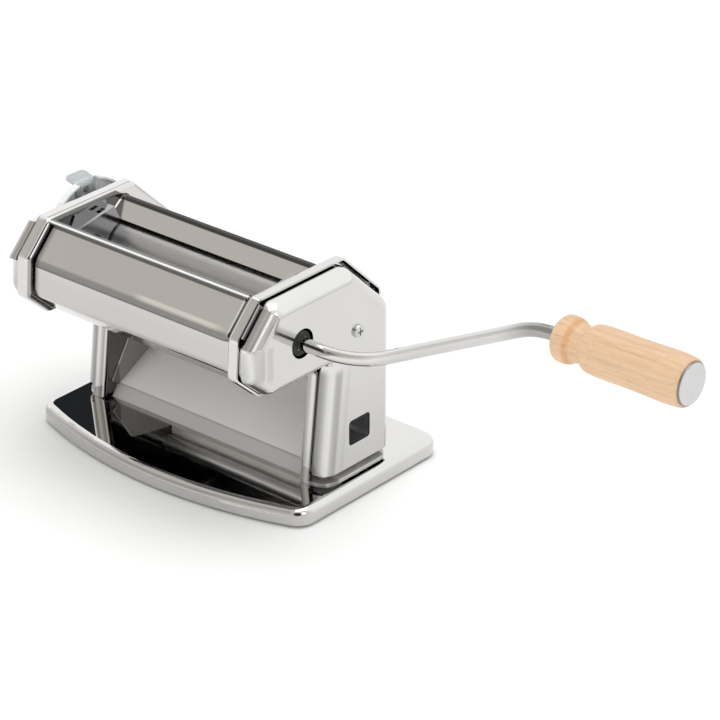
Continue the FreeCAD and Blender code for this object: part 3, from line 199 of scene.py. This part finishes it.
# Metallic of a plate dulled so that it reads lit where its mirror would show dark: painted light
DULLED_METALLIC = 0.2


def plated(name, bright, rough, tint=(1.0, 1.0, 1.0), ripple=3.6e-4, smudge=0.03, metal=1.0, draft=0.0,
           shades=(), matte=None):
    """Chrome plate: clouded brightness, faint ripples of the pressed sheet, and fine wiping marks.

    `draft` tips the pressed flanges outwards: a height that falls by this slope with the distance from
    the middle.
    `matte` is a soft box in which the plate is dulled to a grey that is mostly not metal: painted light in
    place of the dark that its mirror would show.
    """
    n = Nodes(name)
    clouds = n.noise(scale=22.0, detail=2.0)
    colour = n.ramp(clouds, "Fac", [(0.25, grey(bright - 0.03, tint)), (0.75, grey(bright, tint))])
    n.link(*n.shaded(colour, "Color", shades), n.bsdf, "Base Color")
    n.bsdf.inputs["Metallic"].default_value = metal
    if matte:
        dulled = n.span(n.soft_box(matte), 0, 0.0, 1.0, metal, DULLED_METALLIC)
        n.link(dulled, "Result", n.bsdf, "Metallic")
    marks = n.noise(scale=240.0, detail=4.0, stretch=(1.0, 1.0, 1.6))
    gloss = n.span(marks, "Fac", 0.3, 0.75, rough, rough + smudge)
    n.link(gloss, "Result", n.bsdf, "Roughness")
    waves = n.noise(scale=30.0, detail=1.0)
    bumps = n.bump(waves, "Fac", ripple)
    if draft:
        fall = n.add("ShaderNodeMath", operation="MULTIPLY")
        n.link(n.along(*AXES["side"]), "Value", fall, 0)
        fall.inputs[1].default_value = -draft
        bumps = n.bump(fall, "Value", 1.0, below=bumps)
    n.link(bumps, "Normal", n.bsdf, "Normal")
    return n.mat


def brushed(name, bright, rough, along, tint=(1.0, 1.0, 1.0), depth=1.2e-5, shades=()):
    """Bare metal with fine lines along one axis: noise squeezed hard across it."""
    n = Nodes(name)
    stretch = [60.0, 60.0, 60.0]
    stretch["xyz".index(along)] = 1.5
    lines = n.noise(scale=40.0, detail=5.0, stretch=stretch, roughness=0.7)
    colour = n.ramp(lines, "Fac", [(0.3, grey(bright - 0.08, tint)), (0.7, grey(bright + 0.02, tint))])
    n.link(*n.shaded(colour, "Color", shades), n.bsdf, "Base Color")
    n.bsdf.inputs["Metallic"].default_value = 1.0
    n.link(n.span(lines, "Fac", 0.3, 0.7, rough, rough + 0.12), "Result", n.bsdf, "Roughness")
    n.link(n.bump(lines, "Fac", depth), "Normal", n.bsdf, "Normal")
    return n.mat


def speckled(name, bright, rough, tint=(1.0, 1.0, 1.0), metal=1.0):
    """Zinc or cast look: small crystals from cell noise over soft clouds."""
    n = Nodes(name)
    cells = n.add("ShaderNodeTexVoronoi")
    cells.inputs["Scale"].default_value = 900.0
    n.link(n.place, "Object", cells, "Vector")
    clouds = n.noise(scale=160.0, detail=4.0)
    mixed = n.add("ShaderNodeMath", operation="MULTIPLY")
    n.link(cells, "Distance", mixed, 0)
    n.link(clouds, "Fac", mixed, 1)
    colour = n.ramp(mixed, "Value", [(0.05, grey(bright, tint)), (0.45, grey(bright * 0.75, tint))])
    n.link(colour, "Color", n.bsdf, "Base Color")
    n.bsdf.inputs["Metallic"].default_value = metal
    n.link(n.span(clouds, "Fac", 0.3, 0.7, rough, rough + 0.15), "Result", n.bsdf, "Roughness")
    n.link(n.bump(mixed, "Value", 2.0e-5), "Normal", n.bsdf, "Normal")
    return n.mat


BEECH_GRAIN = [
    (0.25, srgb(202, 164, 128)),
    (0.45, srgb(213, 178, 143)),
    (0.60, srgb(220, 187, 153)),
    (0.80, srgb(206, 168, 131)),
]
BEECH_FLECK = srgb(166, 116, 82)
# Painted shade in the turned crease between the handle's bead and neck, and the tone it multiplies the wood
# by
CREASE_SHADE_AREA = [("x", 0.2858, 0.2882), ("x", 0.2912, 0.2888)]
CREASE_SHADE_TONE = (0.93, 0.78, 0.60, 1.0)


def beech_wood():
    """Turned beech: straight grain along X, with short dark flecks, fine pores and painted warm shade in the
    turned crease.
    """
    n = Nodes("beech_wood")
    grain = n.noise(scale=34.0, detail=5.0, stretch=(0.9, 14.0, 14.0), roughness=0.62)
    base = n.ramp(grain, "Fac", BEECH_GRAIN)
    flecks = n.noise(scale=150.0, detail=2.0, stretch=(1.1, 8.0, 8.0), roughness=0.5)
    dark = n.span(flecks, "Fac", 0.60, 0.72, 0.0, 0.32)
    flecked = n.lay(dark, base, "Color", BEECH_FLECK)
    crease_shaded = n.lay(n.soft_box(CREASE_SHADE_AREA), flecked, MIXED, CREASE_SHADE_TONE, "MULTIPLY")
    n.link(crease_shaded, MIXED, n.bsdf, "Base Color")
    n.link(n.span(grain, "Fac", 0.3, 0.7, 0.42, 0.58), "Result", n.bsdf, "Roughness")
    pores = n.noise(scale=420.0, detail=3.0, stretch=(0.5, 6.0, 6.0))
    n.link(n.bump(pores, "Fac", 8e-5, 0.5), "Normal", n.bsdf, "Normal")
    return n.mat


def rubber():
    """Black moulded rubber with a fine matt grain."""
    n = Nodes("black_rubber")
    grain = n.noise(scale=900.0, detail=3.0)
    colour = n.ramp(grain, "Fac", [(0.3, srgb(26, 26, 26)), (0.7, srgb(40, 40, 40))])
    n.link(colour, "Color", n.bsdf, "Base Color")
    n.bsdf.inputs["Roughness"].default_value = 0.7
    n.link(n.bump(grain, "Fac", 3e-5), "Normal", n.bsdf, "Normal")
    return n.mat


# Painted shade and reflections on the frames: painted shade on the inner faces, lighter painted shade on the
# inner faces of the lugs, painted dark reflection on the rolled edges of the lugs, and painted reflection
# streaks across the flanges of the legs
LEG_REFLECTION_STREAKS = [
    (0.0, 0.25), (0.12, 0.35), (0.2, 1.0), (0.34, 0.5), (0.55, 0.72), (0.7, 1.0), (0.86, 0.95), (1.0, 0.5)]
INNER_FACE = [("side", 0.0795, 0.0790), ("facing side", 0.5, 0.7)]
FRAME_PAINTED_SHADE = [
    (INNER_FACE + [("y", -0.0660, -0.0620), ("rear slope", 0.1095, 0.1085)], 0.24),
    (INNER_FACE + [("y", -0.0620, -0.0660)], 0.55),
    ([("side", 0.0856, 0.0866), ("y", -0.0630, -0.0650), ("z", 0.1255, 0.1275)], 0.22),
    ([("side", 0.0780, 0.0782), ("z", 0.0900, 0.0840), ("y", -0.0100, -0.0130)],
     ("side", 0.0780, 0.0866, LEG_REFLECTION_STREAKS)),
]
# The upper side of the foot flanges, dulled to a grey that is mostly not metal: painted light in place of the
# dark its mirror would show
FOOT_DULLED_AREA = [("z", 0.0150, 0.0140), ("side", 0.0850, 0.0866)]
# Painted shade and reflections on the side covers: painted shade on their flat faces, darker towards the
# bottom, painted shade in the joint beside the flange, and painted reflection streaks on the leg and the nose
COVER_LEG_REFLECTION_STREAKS = [
    (0.0, 0.4), (0.1, 0.9), (0.2, 1.0), (0.32, 0.6), (0.45, 0.66), (0.56, 1.0), (0.68, 1.0), (1.0, 0.85)]
COVER_NOSE_REFLECTION_STREAKS = [
    (0.0, 0.7), (0.15, 1.0), (0.3, 0.75), (0.6, 0.8), (0.72, 1.0), (0.82, 0.85), (1.0, 0.84)]
COVER_PAINTED_SHADE = [
    ([("side", 0.0966, 0.0978)], 0.90),
    ([("side", 0.0966, 0.0978), ("z", 0.0900, 0.0250)], 0.84),
    ([("side", 0.0880, 0.0820)], 0.45),
    ([("z", 0.0860, 0.0800), ("leg", -0.0100, -0.0125)], ("leg", -0.0262, -0.0102, COVER_LEG_REFLECTION_STREAKS)),
    ([("z", 0.0980, 0.1030), ("z", 0.1230, 0.1200), ("y", -0.0660, -0.0690)],
     ("y", -0.0838, -0.0690, COVER_NOSE_REFLECTION_STREAKS)),
]
# Painted light on the front skin: painted reflection streaks below the bend and a painted highlight on it,
# painted dark reflection on the underside, painted shade in the crease under the bead, and painted reflection
# streaks at the left end
SKIN_BEND_REFLECTION_STREAKS = [
    (0.0, 0.80), (0.49, 0.85), (0.54, 0.22), (0.58, 0.24),
    (0.65, 0.38), (0.75, 0.42), (0.86, 0.66), (0.95, 1.0)]
SKIN_END_REFLECTION_STREAKS = [(0.0, 0.5), (0.25, 0.4), (0.42, 0.6), (0.62, 0.62), (0.8, 0.95), (1.0, 1.0)]
SKIN_PAINTED_LIGHT = [
    ([("z", 0.1285, 0.1275)], ("z", 0.1165, 0.1280, SKIN_BEND_REFLECTION_STREAKS)),
    ([("z", 0.1256, 0.1264), ("z", 0.1292, 0.1284), ("x", 0.0000, 0.0120), ("x", 0.0760, 0.0600)], 1.42),
    ([("z", 0.0985, 0.0950), ("x", -0.0300, -0.0100)], 0.10),
    ([("z", 0.1415, 0.1420)], 0.28),
    ([("x", -0.0690, -0.0705)], ("x", -0.0779, -0.0700, SKIN_END_REFLECTION_STREAKS)),
]
# Painted highlight across the bead: a bright band between painted dark lines
BEAD_HIGHLIGHT_STREAKS = [(0.0, 0.08), (0.28, 0.2), (0.4, 1.0), (0.62, 1.0), (0.74, 0.25), (1.0, 0.15)]
BEAD_PAINTED_LIGHT = [([("z", 0.1300, 0.1310)], ("across bead", 0.08273, 0.08593, BEAD_HIGHLIGHT_STREAKS))]
# Painted shade on the chute: on its cheeks, the back wall, the plate's front edge, and the plate's upper part
CHUTE_PAINTED_SHADE = [
    ([("side", 0.0760, 0.0765), ("facing side", 0.5, 0.7)], 0.34),
    ([("y", 0.0300, 0.0318)], 0.72),
    ([("y", -0.0130, -0.0137)], 0.5),
    ([("z", 0.0300, 0.0420)], 0.94),
]
# Painted dark reflection on the crest of the rear skin, painted darker reflections on the outer run of the
# crank rod and its bend at the handle, and painted shade on the rim of the handle's cap
REAR_PAINTED_SHADE = [([("z", 0.1388, 0.1393)], 0.12)]
ROD_PAINTED_SHADE = [([("x", 0.1500, 0.1750)], 0.9), ([("x", 0.2350, 0.2640)], 0.6)]
CAP_PAINTED_SHADE = [([("facing side", 0.98, 0.93)], 0.45)]
# Painted shade on the base's skirt, and painted reflection streaks down the rim in front
BASE_RIM_REFLECTION_STREAKS = [
    (0.0, 0.72), (0.25, 0.93), (0.55, 0.95), (0.68, 0.8), (0.78, 0.62), (0.84, 0.7), (0.9, 1.0), (1.0, 1.0)]
BASE_PAINTED_SHADE = [
    ([("z", 0.0100, 0.0085)], 0.92),
    ([("y", -0.0420, -0.0520), ("z", 0.0119, 0.0116)], ("z", 0.0000, 0.0119, BASE_RIM_REFLECTION_STREAKS)),
]

WARM_CHROME = (1.0, 0.985, 0.965)
MATERIALS = {
    "chrome_body": plated("chrome_body", 0.68, 0.05, WARM_CHROME, draft=0.14, shades=FRAME_PAINTED_SHADE,
                          matte=FOOT_DULLED_AREA),
    "chrome_rear": plated("chrome_rear", 0.70, 0.07, WARM_CHROME, shades=REAR_PAINTED_SHADE),
    "chrome_front": plated("chrome_front", 0.69, 0.10, WARM_CHROME, shades=SKIN_PAINTED_LIGHT),
    # The bead: a paler plate, mostly not metal, that carries its painted highlight
    "chrome_bead_painted_highlight": plated("chrome_bead_painted_highlight", 0.95, 0.20, metal=0.3, shades=BEAD_PAINTED_LIGHT),
    "chrome_cover": plated("chrome_cover", 0.71, 0.09, (1.0, 0.995, 0.98), smudge=0.05, shades=COVER_PAINTED_SHADE),
    "chrome_base": plated("chrome_base", 0.68, 0.025, (1.0, 0.99, 0.97), ripple=6e-5, shades=BASE_PAINTED_SHADE),
    "satin_chute": plated("satin_chute", 0.96, 0.30, (1.0, 0.975, 0.94), smudge=0.08, metal=0.1,
                          shades=CHUTE_PAINTED_SHADE),
    "rail_plate": plated("rail_plate", 0.50, 0.30, (1.0, 0.97, 0.94), smudge=0.06),
    "rod_plate": plated("rod_plate", 0.70, 0.07, (1.0, 0.99, 0.97), shades=ROD_PAINTED_SHADE),
    "guide_sheet": plated("guide_sheet", 0.40, 0.12, smudge=0.08),
    "roller_metal": brushed("roller_metal", 0.50, 0.26, "x"),
    "bright_steel": brushed("bright_steel", 0.60, 0.28, "z"),
    "cap_metal": brushed("cap_metal", 0.66, 0.34, "z", shades=CAP_PAINTED_SHADE),
    "gear_steel": speckled("gear_steel", 0.48, 0.38),
    "bronze": speckled("bronze", 0.60, 0.35, (1.0, 0.74, 0.45)),
    "zinc_lever": speckled("zinc_lever", 0.54, 0.24, (0.92, 0.99, 1.0), metal=0.5),
    # Paler and less metallic than the lever's zinc, so that the dial's shaded inside reads light: painted
    # light
    "zinc_dial_painted_light": speckled("zinc_dial_painted_light", 0.90, 0.35, (0.97, 0.99, 1.0), metal=0.15),
    "blackened_steel": speckled("blackened_steel", 0.03, 0.45, metal=0.6),
    "beech_wood": beech_wood(),
    "black_rubber": rubber(),
}

USES = {
    "chrome_body": ["side_frame_right", "side_frame_left"],
    "chrome_rear": ["rear_cover"],
    "rail_plate": ["attachment_rail_right", "attachment_rail_left"],
    "satin_chute": ["chute"],
    "chrome_front": ["front_cover"],
    "chrome_cover": ["side_cover_right", "side_cover_left"],
    "chrome_base": ["base_tray"],
    "rod_plate": ["crank_rod"],
    "roller_metal": ["roller_front", "roller_rear"],
    "bright_steel": [
        "foot_rivets", "screw_bracket_right", "screw_bracket_left", "cover_screws", "clamp_tube_right",
        "clamp_tube_left", "tie_rods", "tie_rod_screws", "scraper_front", "scraper_rear",
        "eccentric_right", "eccentric_left", "link_rod", "dial_screw", "lever_peg", "lever_pin"],
    "blackened_steel": ["drive_socket"],
    "gear_steel": ["gear_front", "gear_rear"],
    "bronze": ["roller_bushes", "bearing_sleeves"],
    "guide_sheet": ["dough_guide_right", "dough_guide_left"],
    "zinc_lever": ["thickness_lever"],
    "zinc_dial_painted_light": ["dial"],
    "cap_metal": ["handle_cap"],
    "beech_wood": ["crank_handle"],
    "black_rubber": ["rubber_feet"],
}
for name, nodes in USES.items():
    for node in nodes:
        mesh = NODES[node].data
        mesh.materials.clear()
        mesh.materials.append(MATERIALS[name])


# Skins between the frames, in millimetres: half the length along X, the sheet, and the angles at which the
# end rounding has its rings
SKIN_END_X = 77.9
SKIN_THICK = 1.0
SKIN_END_DEGREES = np.arange(0, 73, 6)
# Front skin: the middle and radius of its bead, the corners of its outer line in (y, z) from the bead down
# to the hem, the radii of its bends, and the radius with which the ends roll in
SKIN_BEAD = (-64.0, 144.3)
SKIN_BEAD_RADIUS = 1.6
SKIN_CORNERS = [
    (-64.0, 144.3), (-65.46, 141.97), (-81.30, 125.70), (-82.98, 105.08), (-62.71, 87.0), (-58.71, 87.0)]
SKIN_RADII = [1.4, 9.0, 9.0, 2.0]
SKIN_END_ROUND = 5.0
# Rear skin: the corners of its inner line from the lip over the crest to the hem. The sheet lies outside it.
REAR_CORNERS = [(-14.91, 131.01), (-2.7, 140.35), (33.2, 112.1), (33.2, 68.0), (25.7, 68.0)]
REAR_RADII = [2.2, 4.0, 2.0]
REAR_END_ROUND = 1.0


def bent_line(corners, radii, steps=10):
    """Points and left hand normals along a polyline whose inner corners are arcs of the given radii.

    An arc starts at R tan(turn / 2) before its corner. Its points are centre - s R n, where s is the side
    that it turns to, and n is the normal turned step by step.
    """
    corners = np.array(corners, float)
    points = [corners[:1]]
    normals = []
    for i, radius in enumerate(radii, 1):
        u = corners[i] - corners[i - 1]
        w = corners[i + 1] - corners[i]
        u /= np.linalg.norm(u)
        w /= np.linalg.norm(w)
        left = np.array([-u[1], u[0]])
        turn = math.atan2(u[0] * w[1] - u[1] * w[0], float(u @ w))
        start = corners[i] - u * radius * abs(math.tan(turn / 2))
        side = math.copysign(1.0, turn)
        centre = start + side * radius * left
        angle = turn * np.linspace(0.0, 1.0, steps + 1)[:, None]
        normal = left * np.cos(angle) - u * np.sin(angle)
        if not normals:
            normals.append(normal[:1])
        points.append(centre - side * radius * normal)
        normals.append(normal)
    points.append(corners[-1:])
    normals.append(normals[-1][-1:])
    return np.vstack(points), np.vstack(normals)


def mesh_object(name, verts, faces, material):
    """Closed mesh at the origin from points in millimetres, shaded smooth up to 35 degrees."""
    mesh = bpy.data.meshes.new(name)
    mesh.from_pydata((verts / 1000).tolist(), [], faces)
    mesh.polygons.foreach_set("use_smooth", [True] * len(mesh.polygons))
    mesh.set_sharp_from_angle(angle=math.radians(35.0))
    mesh.materials.append(material)
    obj = bpy.data.objects.new(name, mesh)
    bpy.context.scene.collection.objects.link(obj)
    return obj


def skin_between_frames(name, corners, radii, end_round, material):
    """Bent sheet along X whose ends are rounded off beside the side frames.

    A ring of points, the line and back along its offset by the sheet, is carried along X. Each ring is
    moved along the normals by R - sqrt(R^2 - t^2), where t is how far it is into the end rounding.
    """
    line, normals = bent_line(corners, radii)
    reach = end_round * np.sin(np.radians(SKIN_END_DEGREES))
    into = np.concatenate([reach[::-1], reach])
    x = (SKIN_END_X - end_round + into) * np.repeat([-1, 1], len(reach))
    depth = (end_round - np.sqrt(end_round ** 2 - into ** 2))[:, None, None]
    near = line + normals * depth
    far = line + normals * (depth + SKIN_THICK)
    rings = np.concatenate([near, far[:, ::-1]], axis=1)
    stations, loop = rings.shape[:2]
    verts = np.dstack([np.repeat(x[:, None], loop, axis=1), rings]).reshape(-1, 3)

    at = np.arange(loop)
    after = (at + 1) % loop
    start = loop * np.arange(stations - 1)[:, None]
    around = np.stack([start + at, start + after, start + after + loop, start + at + loop], axis=-1)
    k = np.arange(len(line) - 1)
    first_end = np.stack([k, loop - 1 - k, loop - 2 - k, k + 1], axis=-1)
    last_end = loop * (stations - 1) + np.stack([k, k + 1, loop - 2 - k, loop - 1 - k], axis=-1)
    faces = np.vstack([around.reshape(-1, 4), first_end, last_end])
    return mesh_object(name, verts, faces.tolist(), MATERIALS[material])


def round_bar(name, centre, radius, half_length, material, sides=32):
    """Closed round bar along X: two rings at centre + R (cos a, sin a) in (y, z), joined and capped."""
    angle = 2 * math.pi * np.arange(sides) / sides
    y = centre[0] + radius * np.cos(angle)
    z = centre[1] + radius * np.sin(angle)
    ring = np.stack([np.zeros(sides), y, z], axis=-1)
    along = np.array([half_length, 0.0, 0.0])
    k = np.arange(sides)
    after = (k + 1) % sides
    around = np.stack([k, after, sides + after, sides + k], axis=-1)
    faces = around.tolist() + [k[::-1].tolist(), (sides + k).tolist()]
    return mesh_object(name, np.vstack([ring - along, ring + along]), faces, MATERIALS[material])


front_skin = skin_between_frames("front_skin", SKIN_CORNERS, SKIN_RADII, SKIN_END_ROUND, "chrome_front")
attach(front_skin, "stand")
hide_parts("front_cover")
front_bead = round_bar("front_bead", SKIN_BEAD, SKIN_BEAD_RADIUS, SKIN_END_X, "chrome_bead_painted_highlight")
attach(front_bead, "stand")
rear_skin = skin_between_frames("rear_skin", REAR_CORNERS, REAR_RADII, REAR_END_ROUND, "chrome_rear")
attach(rear_skin, "stand")
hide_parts("rear_cover")


def white_table(half=6.0):
    """Square table top in the plane z = 0, facing up: matt white with very faint mottling."""
    n = Nodes("white_table")
    clouds = n.noise(scale=3.0, detail=2.0)
    colour = n.ramp(clouds, "Fac", [(0.3, grey(0.97)), (0.7, grey(0.98))])
    n.link(colour, "Color", n.bsdf, "Base Color")
    n.bsdf.inputs["Roughness"].default_value = 0.9
    n.bsdf.inputs["Specular IOR Level"].default_value = 0.1
    mesh = bpy.data.meshes.new("white_table")
    corners = [(-half, -half, 0.0), (half, -half, 0.0), (half, half, 0.0), (-half, half, 0.0)]
    mesh.from_pydata(corners, [], [(0, 1, 2, 3)])
    mesh.materials.append(n.mat)
    obj = bpy.data.objects.new("white_table", mesh)
    bpy.context.scene.collection.objects.link(obj)


def soft_light(name, place, aim, size, power):
    """Square soft lamp at a place, turned towards a point."""
    data = bpy.data.lights.new(name, "AREA")
    data.shape = "SQUARE"
    data.size = size
    data.energy = power
    obj = bpy.data.objects.new(name, data)
    obj.location = place
    direction = np.array(aim, float) - np.array(place, float)
    direction /= np.linalg.norm(direction)
    yaw = math.atan2(direction[0], -direction[1])
    pitch = math.acos(-direction[2])
    obj.rotation_euler = (pitch, 0.0, yaw + math.pi)
    bpy.context.scene.collection.objects.link(obj)
    return obj


white_table()
soft_light("overhead_box", place=(0.2, 0.3, 2.2), aim=(0.0, 0.0, 0.0), size=1.8, power=20.0)
soft_light("right_box", place=(2.0, -0.4, 1.2), aim=(0.1, 0.0, 0.1), size=1.0, power=6.0)
low_front = soft_light("low_front_box", place=(-0.5, -1.7, 0.4), aim=(0.0, 0.0, 0.05), size=0.7, power=8.0)
low_front.visible_glossy = False

# What shiny parts see in place of the plain white: cones around a direction, given by the cosines at which
# their soft edge starts and ends, and a colour. The bright back, one dark flag in it, warm grey up front
# left, and the dark place of the camera.
STUDIO_ZONES = [
    ((-0.35, 0.85, 0.35), 0.10, 0.50, (1.2, 1.2, 1.2)),
    ((-0.6375, 0.6050, 0.4772), 0.99619, 0.99705, (0.02, 0.023, 0.026)),
    ((-0.50, -0.52, 0.69), 0.72, 0.93, (0.64, 0.61, 0.575)),
    ((0.577, -0.678, 0.454), 0.91, 0.96, (0.06, 0.055, 0.05)),
]
FILL_COLOUR = (1.0, 0.99, 0.98, 1.0)
FILL_STRENGTH = 0.72


def studio_air():
    """White surroundings with a plain even fill, in which shiny parts see the zones."""
    world = bpy.data.worlds.new("studio_air")
    bpy.context.scene.world = world
    world.use_nodes = True
    tree = world.node_tree
    tree.nodes.clear()
    out = tree.nodes.new("ShaderNodeOutputWorld")
    place = tree.nodes.new("ShaderNodeTexCoord")
    path = tree.nodes.new("ShaderNodeLightPath")

    below = None
    for vector, low, high, colour in STUDIO_ZONES:
        dot = tree.nodes.new("ShaderNodeVectorMath")
        dot.operation = "DOT_PRODUCT"
        length = math.sqrt(sum(v * v for v in vector))
        dot.inputs[1].default_value = [v / length for v in vector]
        tree.links.new(place.outputs["Generated"], dot.inputs[0])
        span = tree.nodes.new("ShaderNodeMapRange")
        span.interpolation_type = "SMOOTHSTEP"
        span.inputs["From Min"].default_value = low
        span.inputs["From Max"].default_value = high
        tree.links.new(dot.outputs["Value"], span.inputs["Value"])
        mix = tree.nodes.new("ShaderNodeMix")
        mix.data_type = "RGBA"
        tree.links.new(span.outputs["Result"], mix.inputs["Factor"])
        if below:
            tree.links.new(below.outputs[MIXED], mix.inputs[BELOW])
        else:
            mix.inputs[BELOW].default_value = grey(1.0)
        mix.inputs[OVER].default_value = (*colour, 1.0)
        below = mix

    seen = tree.nodes.new("ShaderNodeBackground")
    seen.inputs["Strength"].default_value = 1.0
    shiny = tree.nodes.new("ShaderNodeBackground")
    tree.links.new(below.outputs[MIXED], shiny.inputs["Color"])
    fill = tree.nodes.new("ShaderNodeBackground")
    fill.inputs["Color"].default_value = FILL_COLOUR
    fill.inputs["Strength"].default_value = FILL_STRENGTH
    first = tree.nodes.new("ShaderNodeMixShader")
    second = tree.nodes.new("ShaderNodeMixShader")
    tree.links.new(path.outputs["Is Glossy Ray"], first.inputs["Fac"])
    tree.links.new(fill.outputs["Background"], first.inputs[1])
    tree.links.new(shiny.outputs["Background"], first.inputs[2])
    tree.links.new(path.outputs["Is Camera Ray"], second.inputs["Fac"])
    tree.links.new(first.outputs["Shader"], second.inputs[1])
    tree.links.new(seen.outputs["Background"], second.inputs[2])
    tree.links.new(second.outputs["Shader"], out.inputs["Surface"])


studio_air()

# Camera of the photo, solved from its straight edges
CAMERA_PLACE = (1.2196, -1.3102, 0.9659)
CAMERA_AZIMUTH = 40.42
CAMERA_ELEVATION = 27.0
camera_data = bpy.data.cameras.new("photo_camera")
camera_data.sensor_width = 36.0
camera_data.lens = 169.0
camera = bpy.data.objects.new("photo_camera", camera_data)
camera.location = CAMERA_PLACE
camera.rotation_euler = (math.radians(90.0 - CAMERA_ELEVATION), 0.0, math.radians(CAMERA_AZIMUTH))
bpy.context.scene.collection.objects.link(camera)
bpy.context.scene.camera = camera
bpy.context.scene.view_settings.view_transform = "Standard"
